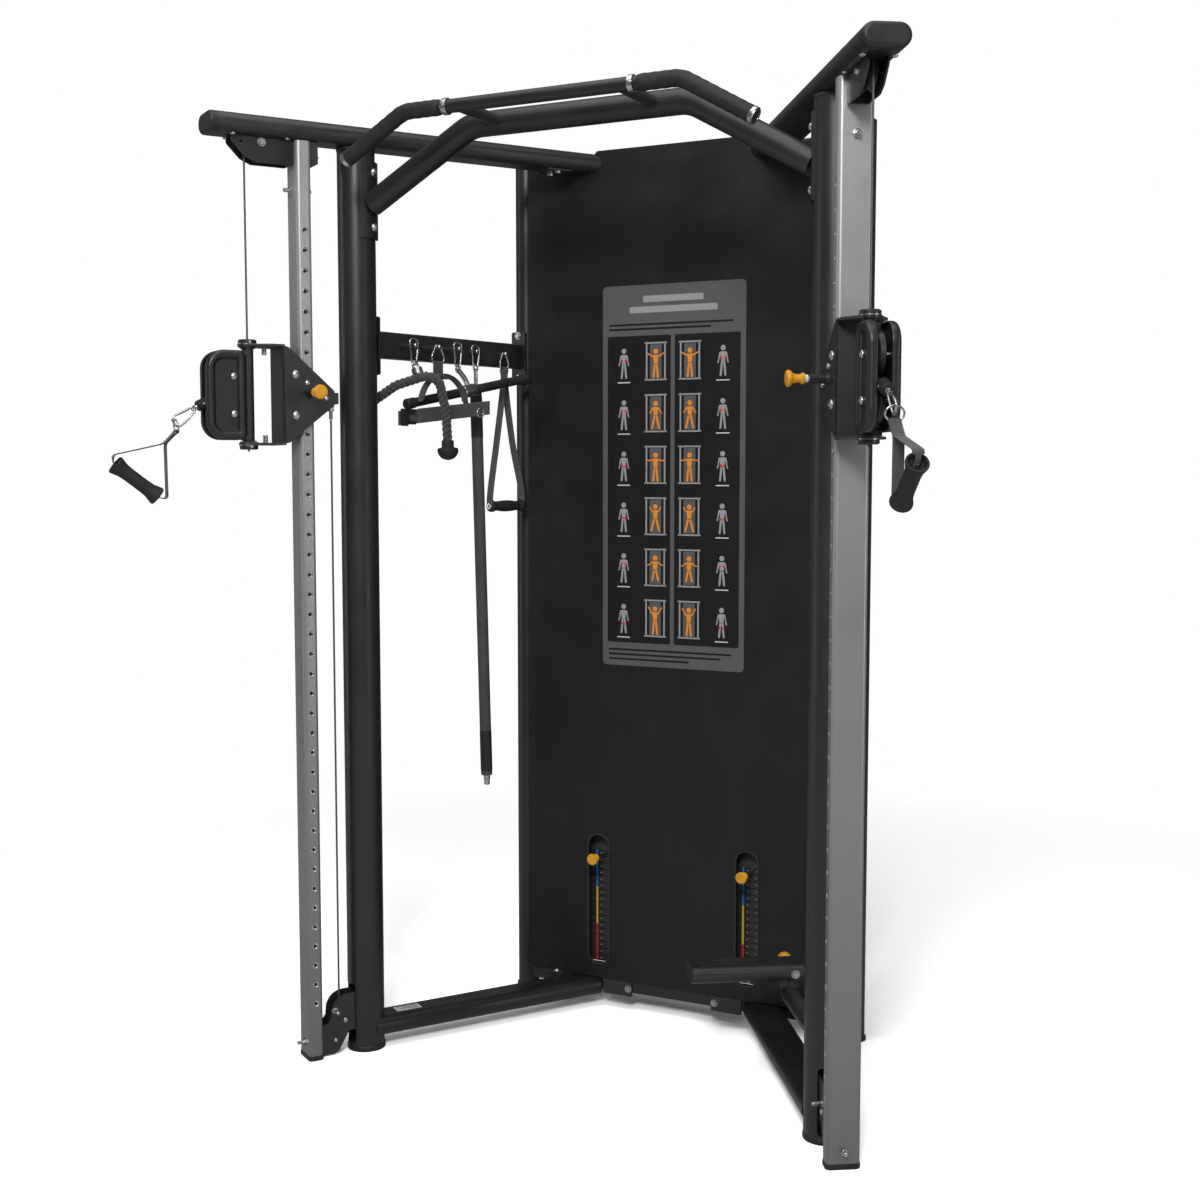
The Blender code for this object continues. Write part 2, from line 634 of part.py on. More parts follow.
def handle_strap():
    """The ring and the webbing that runs from it to both ends of the grip."""
    x, z = PIVOT
    ring = rod([(x + 0.0005 + 0.002 * math.sin(a), 0.019 * math.cos(a), z - 0.008 + 0.0155 * math.sin(a))
                for a in (math.radians(36 * i) for i in range(10))], 0.0022, 1, cyclic=True)
    upper, lower, fork = (1.256, 1.553), (1.136, 1.462), (1.148, 1.573)
    tab = [(x - 0.004, z - 0.022), (x + 0.004, z - 0.018), (fork[0] + 0.004, fork[1] + 0.002),
           (upper[0], upper[1]), (1.279, 1.537), (1.276, 1.535), (1.254, 1.549),
           (fork[0] + 0.001, fork[1] - 0.004),
           (lower[0] + 0.004, lower[1] + 0.001), (1.159, 1.431), (1.156, 1.429), (lower[0], lower[1]),
           (fork[0] - 0.004, fork[1] - 0.002)]
    return joined(ring, side_plate(tab, -0.0125, 0.0125))


def handle_grip():
    """A flared grip sleeve, lying between the two legs of its strap."""
    start, end = Vector((1.166, 0, 1.4475)), Vector((1.265, 0, 1.5240))
    length = (end - start).length
    profile = [(0.006, 0), (0.023, 0), (0.0165, 0.022), (0.0155, length / 2), (0.0165, length - 0.022),
               (0.023, length), (0.006, length)]
    return turned(profile, start, end - start, 16)


# ---------------------------------------------------------------- foot rest


def footrest_arm():
    """A bent tube from the front post, with an eye inside the step's slot and the step's pivot bolt."""
    leg = bent([(POST_S, 0, LEG_Z), (STEP_S, 0, LEG_Z), (STEP_S, 0, 0.247)], 0.029)
    y, z = STEP_PIVOT
    eye = arc((y, z), 0.0170, 0, 180, 8) + [(y - 0.0170, 0.229), (y + 0.0170, 0.229)]
    block = prism(eye, 0.036, Matrix.Translation((STEP_S, 0, 0)) @ END_ON)
    bolt = cylinder((STEP_S, y, z), (STEP_S + 0.053, y, z), 0.005, 10)
    head = cylinder((STEP_S + 0.0505, y, z), (STEP_S + 0.057, y, z), 0.009, 12)
    post = cylinder((POST_S, 0, 0), (POST_S, 0, 1), POST_RADIUS + GAP)
    return cut(joined(rod(leg, 0.0215, 3), block, bolt, head), post)


def footrest_step():
    y, z = STEP_PIVOT
    near, far = STEP_PIVOT[0] - 0.0285, 0.250
    lay = Matrix.Translation((STEP_S, (near + far) / 2, z)) @ SIDE_ON
    tube = prism(flat_oval(OVAL_WIDTH, STEP_HEIGHT), far - near, lay)
    tube = joined(tube, cylinder((STEP_S, 0.099, z - 0.034), (STEP_S, 0.099, z), 0.004, 8))
    slot = box((STEP_S - 0.0223, near - 0.010, z - 0.05), (STEP_S + 0.0223, y + 0.0195, z + 0.0182))
    bore = cylinder((STEP_S - 0.1, y, z), (STEP_S + 0.1, y, z), 0.0056, 10)
    return cut(tube, slot, bore)


def footrest_knob():
    y, z = STEP_PIVOT
    tip = STEP_S - OVAL_WIDTH / 2 - 0.001
    profile = [(0.003, 0), (0.011, 0), (0.011, 0.010), (0.0185, 0.014), (0.0185, 0.028), (0.014, 0.033),
               (0.003, 0.033)]
    knob = turned(profile, (tip, y, z), (-1, 0, 0), 16)
    return joined(knob, cylinder((tip - 0.020, y, z), (STEP_S - 0.024, y, z), 0.005, 10))


# ---------------------------------------------------------------- accessories on the rack


def rack_frame():
    """Matrix from (along the rack, towards the user, up) to the world, from the front post's centre line."""
    start = wing_point(POST_S, 0, 0)
    end = Vector((-REAR_POST_X, REAR_POST_Y, 0))
    along = (end - start).normalized()
    user = Vector((along.y, -along.x, 0))
    turn = Matrix((along, user, Vector((0, 0, 1)))).transposed().to_4x4()
    return Matrix.Translation(start) @ turn, (end - start).length


def accessory_rack(length):
    near, far = POST_RADIUS + 0.0006, length - REAR_POST_RADIUS - 0.0006
    half = RACK_DEPTH / 2
    tube = prism(rounded_rectangle(RACK_DEPTH, RACK_HEIGHT, 0.008, 2), far - near - 0.002,
                 Matrix.Translation(((near + far) / 2, 0, RACK_Z)) @ END_ON)
    flanges = [box((a, -0.026, RACK_Z - 0.078), (a + 0.006, 0.026, RACK_Z + 0.070))
               for a in (near, far - 0.006)]
    pegs = [cylinder((t, half - 0.002, RACK_Z), (t, PEG_REACH, RACK_Z), PEG_RADIUS, 8) for t in PEGS]
    heads = [cylinder((t, PEG_REACH - 0.006, RACK_Z), (t, PEG_REACH, RACK_Z), PEG_RADIUS + 0.004, 8)
             for t in PEGS]
    return joined(tube, *flanges, *pegs, *heads)


def hanging_loop(t, y, drop, width=0.016):
    """A snap hook hung on a peg, in the plane along the rack; it clears the peg by its inner edge."""
    angles = [math.radians(18 + 36 * i) for i in range(10)]
    half, centre = width / 2, RACK_Z + 0.0085
    loop = [(t + half * math.cos(a), y, centre + half * math.sin(a) - (drop if math.sin(a) < 0 else 0))
            for a in angles]
    return rod(loop, 0.0024, 1, cyclic=True)


def long_bar():
    """A straight bar that hangs a little off plumb, its tip outwards."""
    t, y = PEGS[3], 0.040
    top, foot, tip = (t + 0.001, y, 1.722), (t + 0.035, y, 0.664), (t + 0.036, y, 0.636)
    neck = rod([(t, y, 1.783), (t + 0.001, y, 1.705)], 0.006, 1)
    return joined(cylinder(foot, top, 0.016, 16), neck, cylinder(tip, foot, 0.009, 8), hanging_loop(t, y, 0.058))


def short_bar():
    t, y = PEGS[2], 0.072
    bar = rod([(0.096, y, 1.679), (0.565, y, 1.767)], 0.0125, 2)
    swivel = rod([(t - 0.003, y, 1.778), (t + 0.030, y, 1.750), (t + 0.040, y, 1.725)], 0.010, 1)
    return joined(bar, swivel, hanging_loop(t, y, 0.056))


def strap_handle():
    t, y = PEGS[4], 0.040
    bottom = 1.4120
    legs = [(t - 0.005, 1.790), (t + 0.005, 1.790), (t + 0.006, 1.75), (t + 0.074, bottom + 0.01),
            (t + 0.071, bottom - 0.006), (t + 0.068, bottom + 0.01), (t, 1.730), (t - 0.058, bottom + 0.01),
            (t - 0.061, bottom - 0.006),
            (t - 0.064, bottom + 0.01), (t - 0.006, 1.75)]
    webbing = prism(legs, 0.024, Matrix.Translation((0, y, 0)) @ SIDE_ON)
    grip = cylinder((t - 0.062, y, bottom), (t + 0.072, y, bottom), 0.016, 12)
    return joined(webbing, grip, hanging_loop(t, y, 0.046))


def ankle_cuff():
    t = PEGS[1]
    band = [(0.046, 1.613), (0.378, 1.655), (0.381, 1.697), (0.046, 1.668)]
    centre = (t - 0.008, 1.675)
    arch = arc(centre, 0.092, 180, 0, 8) + arc(centre, 0.076, 0, 180, 8)
    lay = Matrix.Translation((0, 0.098, 0)) @ SIDE_ON
    pieces = [prism(shape, wide, lay) for shape, wide in ((band, 0.022), (arch, 0.018))]
    tab = box((t - 0.018, 0.066, 1.741), (t + 0.018, 0.108, 1.800))
    return joined(pieces[0], pieces[1], tab, hanging_loop(t, 0.070, 0.032, 0.030))


def triceps_rope():
    t, y = PEGS[0], 0.068
    right = [(t, 0.090, 1.745), (t + 0.003, 0.124, 1.750), (t + 0.022, 0.138, 1.735),
             (t + 0.042, 0.140, 1.660), (t + 0.048, 0.140, 1.573)]
    left = [(t, 0.090, 1.745), (t - 0.040, 0.040, 1.728), (t - 0.072, -0.050, 1.670),
            (t - 0.076, -0.075, 1.600)]
    arms = [rod(bent(path, radius, 3), 0.0125, 2) for path, radius in ((right, 0.016), (left, 0.025))]
    balls = [ball((t + 0.048, 0.140, 1.564), 0.027), ball((t - 0.076, -0.075, 1.596), 0.027)]
    clamp = rod([(t, y, 1.788), (t, 0.090, 1.740)], 0.010, 1)
    return joined(*arms, *balls, clamp, hanging_loop(t, y, 0.050))


# ---------------------------------------------------------------- the machine

clear_scene()
wings = {"left": wing_empty("left"), "right": wing_empty("right")}
bpy.context.view_layer.update()

black = material("black_powder_coat", (0.016, 0.016, 0.017), 0.42)
silver = material("silver_powder_coat", (0.24, 0.24, 0.25), 0.34, 0.6)
steel = material("zinc_steel", (0.62, 0.62, 0.62), 0.25, 1.0)
yellow = material("yellow_plastic", (0.82, 0.42, 0.02), 0.40)
rubber = material("black_rubber", (0.03, 0.03, 0.03), 0.75)
webbing = material("grey_webbing", (0.07, 0.07, 0.075), 0.85)
iron = material("black_cast_iron", (0.02, 0.02, 0.02), 0.55)
nylon = material("black_nylon", (0.015, 0.015, 0.015), 0.5)
coated = material("coated_cable", (0.02, 0.02, 0.022), 0.35)

add("tower_frame", tower_frame(), black)
add("front_shroud", front_shroud(), black)
add("rear_shroud", rear_shroud(), black)
add("base_crossbar", base_crossbar(), black)
add("guide_rod_frame", guide_rod_frame(), steel)
add("pull_up_bar", pull_up_bar(), black)

add_pair("wing_beam", wing_beam(), black)
add_pair("base_tube", base_tube(), black)
add_pair("front_post", front_post(), black)
add_pair("adjustment_column", adjustment_column(), silver)
add_pair("top_pulley_bracket", top_pulley_bracket(), black)
add_pair("lower_pulley_bracket", lower_pulley_bracket(), black)
for end_name, end_place, end_radius, end_groove in (
        ("top_pulley", TOP_PULLEY, TOP_PULLEY_RADIUS, TOP_GROOVE_RADIUS),
        ("lower_pulley", LOWER_PULLEY, LOWER_PULLEY_RADIUS, LOWER_GROOVE_RADIUS)):
    hub = (end_place[0], 0, end_place[1])
    add_pair(end_name, pulley(end_radius, end_groove, 0.010, 0.0056, hub), nylon, hub)

swivel_origin = (SWIVEL_S, 0, CABLE_EXIT_Z)
add_pair("carriage", carriage(), black, (COLUMN_S, 0, CARRIAGE_Z))
add_pair("carriage_pin", carriage_pin(), yellow, (COLUMN_S, 0, CARRIAGE_Z))
add_pair("swivel_housing", swivel_housing(), black, swivel_origin)
for rise_name, rise in (("upper_swivel_pulley", PULLEY_RISE), ("lower_swivel_pulley", -PULLEY_RISE)):
    hub = (PULLEY_S, 0, CABLE_EXIT_Z + rise)
    add_pair(rise_name, pulley(PULLEY_RADIUS, GROOVE_RADIUS, 0.010, 0.0056, hub), nylon, hub)
add_pair("cable_stop", cable_stop(), rubber, swivel_origin)
add_pair("snap_hook", snap_hook(), steel, swivel_origin)
add_pair("handle_strap", handle_strap(), webbing, (PIVOT[0], 0, PIVOT[1]))
add_pair("handle_grip", handle_grip(), rubber, (1.2155, 0, 1.48575))

upper_cable_z = (CARRIAGE_Z + 0.1305, TOP_PULLEY[1])
lower_cable_z = (LOWER_PULLEY[1], CARRIAGE_Z - 0.0625)
add_pair("upper_cable", rod([(SWIVEL_S, 0, z) for z in upper_cable_z], CABLE_RADIUS, 1), coated)
add_pair("lower_cable", rod([(CLEVIS_S, 0, z) for z in lower_cable_z], CABLE_RADIUS, 1), coated)

for side_name, sign in (("left", -1), ("right", 1)):
    stack_x = sign * SLOT_X
    add("weight_plates_" + side_name, resting_plates(stack_x), iron)
    add("head_plate_" + side_name, lifted_plate(stack_x), iron, origin=(stack_x, STACK_Y, STACK_TOP))
    add("selector_pin_" + side_name, selector_pin(stack_x), yellow, origin=(stack_x, KNOB_Y, PIN_Z))

add("footrest_arm", footrest_arm(), black, wings["right"])
add("footrest_step", footrest_step(), black, wings["right"], (STEP_S, *STEP_PIVOT))
add("footrest_knob", footrest_knob(), yellow, wings["right"], (STEP_S, *STEP_PIVOT))

rack = bpy.data.objects.new("rack_frame", None)
machine.objects.link(rack)
rack.matrix_world, rack_length = rack_frame()
add("accessory_rack", accessory_rack(rack_length), black, rack)
add("triceps_rope", triceps_rope(), webbing, rack, (PEGS[0], 0.068, RACK_Z))
add("ankle_cuff", ankle_cuff(), webbing, rack, (PEGS[1], 0.070, RACK_Z))
add("short_bar", short_bar(), black, rack, (PEGS[2], 0.072, RACK_Z))
add("long_bar", long_bar(), rubber, rack, (PEGS[3], 0.040, RACK_Z))
add("strap_handle", strap_handle(), webbing, rack, (PEGS[4], 0.040, RACK_Z))
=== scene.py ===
"""Looks of the cable crossover machine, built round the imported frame.

World frame: metres, +Z up, floor at Z = 0, the tower's front face on Y = 0, the user at negative Y.
A wing is modelled once in its own frame (x outwards along the wing, y towards the user, z up) and placed on
both sides, mirrored on the right. The accessory rack has its own frame: x along the rack, y towards the user.
"""

import math

import bmesh
import bpy
from mathutils import Matrix, Vector


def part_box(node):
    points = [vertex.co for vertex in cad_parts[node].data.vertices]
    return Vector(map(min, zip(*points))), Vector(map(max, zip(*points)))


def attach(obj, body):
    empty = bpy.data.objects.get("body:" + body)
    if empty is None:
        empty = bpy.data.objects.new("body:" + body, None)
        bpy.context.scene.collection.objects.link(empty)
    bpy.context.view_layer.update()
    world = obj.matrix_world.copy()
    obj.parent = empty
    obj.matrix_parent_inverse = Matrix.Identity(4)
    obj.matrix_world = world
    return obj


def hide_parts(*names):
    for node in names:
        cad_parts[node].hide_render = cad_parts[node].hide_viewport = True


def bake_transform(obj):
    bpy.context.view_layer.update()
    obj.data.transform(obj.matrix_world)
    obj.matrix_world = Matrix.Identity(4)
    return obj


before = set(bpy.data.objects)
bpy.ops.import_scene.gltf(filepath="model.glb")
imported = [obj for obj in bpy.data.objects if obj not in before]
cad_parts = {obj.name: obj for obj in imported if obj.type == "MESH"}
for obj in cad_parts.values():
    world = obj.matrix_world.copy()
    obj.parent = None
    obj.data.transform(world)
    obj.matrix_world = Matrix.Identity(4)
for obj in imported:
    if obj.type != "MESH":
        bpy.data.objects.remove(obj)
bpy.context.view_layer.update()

SIDES = ("left", "right")
WING_ANGLE = math.radians(33)
WING_X = 0.275
OVAL_WIDTH = 0.100
OVAL_HEIGHT = 0.050
PEGS = (0.131, 0.216, 0.288, 0.390, 0.505)
HOOK_Y = (0.068, 0.070, 0.072, 0.040, 0.040)
STITCH = 0.0006
CABLE = 0.0025
AXLE = 0.005
HOLES = [0.150 + 0.050 * i for i in range(40)]
PLATE_COUNT = 17
STEP = (0.275, -0.0075, 0.272)  # where the foot rest's step pivots, in the wing's frame
GRIP_ENDS = (Vector((1.166, 0, 1.4475)), Vector((1.265, 0, 1.5240)))


# ---------------------------------------------------------------- places taken from the frame


def wing_matrix(side):
    mirror = -1 if side == "right" else 1
    turn = Matrix.Rotation(-mirror * (math.radians(90) + WING_ANGLE), 4, "Z")
    return Matrix.Translation((-mirror * WING_X, 0, 0)) @ turn @ Matrix.Diagonal((mirror, 1, 1, 1))


WING = {side: wing_matrix(side) for side in SIDES}


def local_box(node, matrix):
    """Lowest and highest corners of a CAD node in another frame."""
    back = matrix.inverted()
    points = [back @ v.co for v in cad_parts[node].data.vertices]
    return [Vector(pick(p[i] for p in points) for i in range(3)) for pick in (min, max)]


def wing_box(node):
    """Lowest and highest corners of a left-hand CAD node in its wing's frame."""
    return local_box(node + "_left", WING["left"])


def wing_centre(node):
    low, high = wing_box(node)
    centre = (low + high) / 2
    return Vector((centre.x, 0, centre.z))


post_low, post_high = wing_box("front_post")
column_high = wing_box("adjustment_column")[1]
beam_low, beam_high = wing_box("wing_beam")
base_low, base_high = wing_box("base_tube")
panel_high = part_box("front_shroud")[1]
tower_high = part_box("tower_frame")[1]
POST_S = wing_centre("front_post").x
POST_RADIUS = (post_high.x - post_low.x) / 2 - 0.002
PIN = wing_centre("carriage_pin")
COLUMN_S = PIN.x
CARRIAGE_Z = wing_centre("carriage").z
SWIVEL_S = wing_centre("upper_cable").x
TOP_WHEEL = wing_centre("top_pulley")
LOWER_WHEEL = wing_centre("lower_pulley")
SWIVEL_WHEELS = {name: wing_centre(name + "_swivel_pulley") for name in ("upper", "lower")}
REAR_X = tower_high.x - 0.034
REAR_Y = 0.0845
RACK_Z = 1.832


def rack_matrix():
    start = WING["left"] @ Vector((POST_S, 0, 0))
    end = Vector((-REAR_X, REAR_Y, 0))
    along = (end - start).normalized()
    turn = Matrix((along, (along.y, -along.x, 0), (0, 0, 1))).transposed().to_4x4()
    return Matrix.Translation(start) @ turn, (end - start).length


RACK, rack_length = rack_matrix()


# ---------------------------------------------------------------- outlines and paths


def arc(centre, radius, start, end, steps):
    """Points on an arc, angles in degrees."""
    angles = [math.radians(start + (end - start) * i / steps) for i in range(steps + 1)]
    return [(centre[0] + radius * math.cos(a), centre[1] + radius * math.sin(a)) for a in angles]


def soft(points, radius, steps=3, closed=True):
    """The outline or path with its corners rounded, in two or three dimensions."""
    points = [Vector(p) for p in points]
    made = []
    for i, corner in enumerate(points):
        if not closed and i in (0, len(points) - 1):
            made.append(corner)
            continue
        before, after = points[i - 1] - corner, points[(i + 1) % len(points)] - corner
        half = before.angle(after) / 2
        if half > math.radians(88):
            made.append(corner)
            continue
        reach = min(radius / math.tan(half), before.length * 0.48, after.length * 0.48)
        bend = reach * math.tan(half)
        a, b = before.normalized(), after.normalized()
        centre = corner + (a + b).normalized() * (bend / math.sin(half))
        first, last = corner + a * reach - centre, corner + b * reach - centre
        total = math.pi - 2 * half
        for k in range(steps + 1):
            t = k / steps * total
            turn = (first * math.sin(total - t) + last * math.sin(t)) / math.sin(total)
            made.append(centre + turn)
    return made


def rectangle(width, height, radius, steps=4):
    x, y = width / 2, height / 2
    return soft([(x, -y), (x, y), (-x, y), (-x, -y)], radius, steps)


def oval(width, height, steps=12):
    x = width / 2 - height / 2
    return arc((x, 0), height / 2, -90, 90, steps) + arc((-x, 0), height / 2, 90, 270, steps)


def radians_of(values):
    return [math.radians(value) for value in values]


def whole_turn(count):
    """Angles at equal steps round a full turn, in radians."""
    return [math.tau * i / count for i in range(count)]


def circle(radius, sides):
    return [(radius * math.cos(a), radius * math.sin(a)) for a in whole_turn(sides)]


def smooth(points, steps=8, closed=False):
    """A Catmull-Rom curve through the points."""
    points = [Vector(p) for p in points]
    count = len(points)
    pieces = count if closed else count - 1

    def at(i):
        return points[i % count] if closed else points[min(max(i, 0), count - 1)]

    made = []
    for i in range(pieces):
        a, b, c, d = at(i - 1), at(i), at(i + 1), at(i + 2)
        for k in range(steps):
            t = k / steps
            made.append(0.5 * (2 * b + (c - a) * t + (2 * a - 5 * b + 4 * c - d) * t ** 2
                               + (3 * b - a - 3 * c + d) * t ** 3))
    return made if closed else made + [points[-1]]


def even(path, step):
    """The open path with points at equal distances."""
    path = [Vector(p) for p in path]
    total = sum((b - a).length for a, b in zip(path, path[1:]))
    count = max(2, round(total / step))
    made, walked, i = [path[0]], 0.0, 0
    for k in range(1, count):
        target = total * k / count
        while walked + (path[i + 1] - path[i]).length < target:
            walked += (path[i + 1] - path[i]).length
            i += 1
        made.append(path[i].lerp(path[i + 1], (target - walked) / (path[i + 1] - path[i]).length))
    return made + [path[-1]]


# ---------------------------------------------------------------- meshes


def mesh_from(bm):
    bmesh.ops.recalc_face_normals(bm, faces=bm.faces)
    mesh = bpy.data.meshes.new("shape")
    bm.to_mesh(mesh)
    bm.free()
    return mesh


def skin(bm, rings, closed):
    """Quads between neighbouring rings of vertices, with a cap at each open end."""
    pairs = list(zip(rings, rings[1:])) + ([(rings[-1], rings[0])] if closed else [])
    for a, b in pairs:
        count = max(len(a), len(b))
        for i in range(count):
            j = (i + 1) % count
            corners = [a[i % len(a)], a[j % len(a)], b[j % len(b)], b[i % len(b)]]
            unique = [v for k, v in enumerate(corners) if v not in corners[:k]]
            bm.faces.new(unique)
    if not closed:
        for ring in (rings[0], rings[-1]):
            if len(ring) > 2:
                bm.faces.new(ring)


def loft(sections, closed=False):
    bm = bmesh.new()
    skin(bm, [[bm.verts.new(p) for p in section] for section in sections], closed)
    return mesh_from(bm)


def axis_matrix(origin, direction):
    turn = Vector(direction).to_track_quat("Z", "Y").to_matrix().to_4x4()
    return Matrix.Translation(Vector(origin)) @ turn


def lathe(profile, origin=(0, 0, 0), direction=(0, 0, 1), steps=40, ring=False, edge=0.0):
    """Profile points (radius, height) turned about an axis; a ring's profile is a closed loop."""
    if edge:
        profile = soft(profile, edge, 2, closed=ring)
    sections = []
    for r, h in profile:
        sections.append([(0, 0, h)] if r < 1e-6 else [(x, y, h) for x, y in circle(r, steps)])
    made = loft(sections, ring)
    made.transform(axis_matrix(origin, direction))
    return made


def cylinder(radius, low, high, origin=(0, 0, 0), direction=(0, 0, 1), steps=40, edge=0.0):
    """A solid cylinder between two heights along its own axis."""
    return lathe([(0, low), (radius, low), (radius, high), (0, high)], origin, direction, steps, edge=edge)


def hollow(inner, outer, low, high, origin=(0, 0, 0), direction=(0, 0, 1), steps=40, edge=0.0):
    """A hollow cylinder between two heights along its own axis."""
    profile = [(inner, low), (outer, low), (outer, high), (inner, high)]
    return lathe(profile, origin, direction, steps, True, edge)


def sweep(path, outline, up=None, closed=False, scale=None, twist=None):
    """An outline (x across, y up) carried along a path; with no up direction it turns as little as it can."""
    path = [Vector(p) for p in path]
    count = len(path)
    sections = []
    upward = Vector(up) if up else None
    for i, place in enumerate(path):
        before = path[i - 1] if i or closed else place
        after = path[(i + 1) % count] if i < count - 1 or closed else place
        along = (after - before).normalized()
        if upward is None:
            upward = along.orthogonal()
        side = along.cross(upward).normalized()
        level = side.cross(along).normalized()
        if up is None:
            upward = level
        width, height = scale(i / (count - 1)) if scale else (1, 1)
        angle = twist(i / (count - 1)) if twist else 0.0
        c, s = math.cos(angle), math.sin(angle)
        turned = [(x * width * c - y * height * s, x * width * s + y * height * c) for x, y in outline]
        sections.append([place + side * x + level * y for x, y in turned])
    return loft(sections, closed)


def rod(path, radius, sides=16, closed=False, scale=None):
    return sweep(path, circle(radius, sides), closed=closed, scale=scale)


def hoop(centre, across, upward, wire, steps, sides=12):
    """A closed ring of wire, its half axes given as two vectors."""
    centre, across, upward = Vector(centre), Vector(across), Vector(upward)
    line = [centre + across * math.cos(a) + upward * math.sin(a) for a in whole_turn(steps)]
    return rod(line, wire, sides, closed=True)


def ribbon(path, width, thickness, across, scale=None):
    """Webbing: a flat strap with round edges, its width along the across direction."""
    half, r = width / 2, thickness / 2
    ribs = 9
    top = [(half - r - (width - thickness) * k / (2 * ribs), r * (1.0 if k % 2 else 0.78))
           for k in range(1, 2 * ribs)]
    bottom = [(-x, -y) for x, y in top]
    outline = arc((half - r, 0), r, -80, 80, 4) + top + arc((-half + r, 0), r, 100, 260, 4) + bottom
    path = [Vector(p) for p in path]
    normal_up = []
    for i in range(len(path)):
        along = (path[min(i + 1, len(path) - 1)] - path[max(i - 1, 0)]).normalized()
        normal_up.append(Vector(across).cross(along).normalized())
    sections = []
    for i, place in enumerate(path):
        wide = scale(i / (len(path) - 1)) if scale else 1.0
        sections.append([place + Vector(across) * x * wide + normal_up[i] * y for x, y in outline])
    return loft(sections)


def plate(outline, low, high, lay, edge=0.001, holes=()):
    """A flat outline, thick from low to high along its own Z, its rims rounded, laid by a matrix."""
    bm = bmesh.new()
    caps = [[], []]
    for loop in (outline, *holes):
        rows = [[bm.verts.new((p[0], p[1], z)) for p in loop] for z in (low, high)]
        for i in range(len(loop)):
            j = (i + 1) % len(loop)
            bm.faces.new((rows[0][i], rows[0][j], rows[1][j], rows[1][i]))
        for cap, row in zip(caps, rows):
            cap.append(row)
    for cap in caps:
        if holes:
            edges = [bm.edges.get((row[i - 1], row[i])) for row in cap for i in range(len(row))]
            bmesh.ops.triangle_fill(bm, use_beauty=True, edges=edges)
        else:
            bm.faces.new(cap[0])
    bmesh.ops.recalc_face_normals(bm, faces=bm.faces)
    if edge:
        rims = [e for e in bm.edges if e.is_manifold and e.calc_face_angle() > math.radians(60)
                and abs(e.verts[0].co.z - e.verts[1].co.z) < 1e-6]
        bmesh.ops.bevel(bm, geom=rims, offset=edge, segments=2, affect="EDGES", profile=0.5,
                        clamp_overlap=True)
    bm.transform(lay)
    return mesh_from(bm)


def box(low, high, edge=0.001):
    bm = bmesh.new()
    bmesh.ops.create_cube(bm, size=1.0)
    size = Vector(high) - Vector(low)
    centre = (Vector(high) + Vector(low)) / 2
    bmesh.ops.transform(bm, matrix=Matrix.Translation(centre) @ Matrix.Diagonal((*size, 1.0)),
                        verts=bm.verts)
    if edge:
        bmesh.ops.bevel(bm, geom=bm.edges[:], offset=edge, segments=2, affect="EDGES", profile=0.5)
    return mesh_from(bm)


FLAT = Matrix.Identity(4)
SIDE_ON = Matrix.Rotation(math.radians(90), 4, "X")  # outline in x and z; its thickness runs along -y
# outline in y and z, thickness along x
END_ON = Matrix(((0, 0, 1, 0), (1, 0, 0, 0), (0, 1, 0, 0), (0, 0, 0, 1)))


def side_plate(outline, inner, outer, edge=0.001, holes=()):
    """A plate in the x-z plane between two values of y."""
    return plate(outline, -outer, -inner, SIDE_ON, edge, holes)


def boolean(first, others, operation="DIFFERENCE"):
    base = bpy.data.objects.new("base", first)
    bpy.context.scene.collection.objects.link(base)
    helpers = []
    for other in others:
        helper = bpy.data.objects.new("helper", other)
        bpy.context.scene.collection.objects.link(helper)
        helpers.append(helper)
        step = base.modifiers.new(operation, "BOOLEAN")
        step.operation = operation
        step.solver = "EXACT"
        step.object = helper
    graph = bpy.context.evaluated_depsgraph_get()
    made = bpy.data.meshes.new_from_object(base.evaluated_get(graph), depsgraph=graph)
    for obj in (base, *helpers):
        bpy.data.objects.remove(obj)
    return made


def merged(meshes):
    bm = bmesh.new()
    for mesh in meshes:
        bm.from_mesh(mesh)
    made = bpy.data.meshes.new("shape")
    bm.to_mesh(made)
    bm.free()
    return made


# ---------------------------------------------------------------- fasteners


def hex_bolt(place, direction, size=0.0085, height=0.0060):
    """A hexagon head on a washer."""
    head = lathe([(0, 0.0018), (size, 0.0018), (size, height), (size * 0.86, height + 0.0014),
                  (0, height + 0.0014)],
                 place, direction, 6)
    washer = cylinder(size * 1.28, -0.0005, 0.0018, place, direction, 28,
                   edge=0.0004)
    return [head, washer]


def dome_bolt(place, direction, size=0.0080, height=0.0048):
    """A button head with a hexagon socket."""
    rim = 0.0010
    crown = [(size * math.cos(a), rim + (height - rim) * math.sin(a)) for a in radians_of((18, 36, 54, 66))]
    socket = [(size * 0.34, height), (size * 0.32, height * 0.45), (0, height * 0.45)]
    profile = [(0, -0.0005), (size, -0.0005), (size, rim)] + crown + socket
    return [lathe(profile, place, direction, 24)]


def stud_nut(place, direction, size=0.0085, stud=0.0045, reach=0.012):
    """A nut with the end of its stud standing out."""
    nut = lathe([(0, -0.0005), (size * 0.9, -0.0005), (size, 0.0006), (size, 0.0070),
                 (size * 0.88, 0.0078), (0, 0.0078)],
                place, direction, 6)
    end = lathe([(0, 0.0060), (stud, 0.0060), (stud, reach - 0.001), (stud * 0.75, reach), (0, reach)],
                place, direction, 16)
    return [nut, end]


# ---------------------------------------------------------------- materials


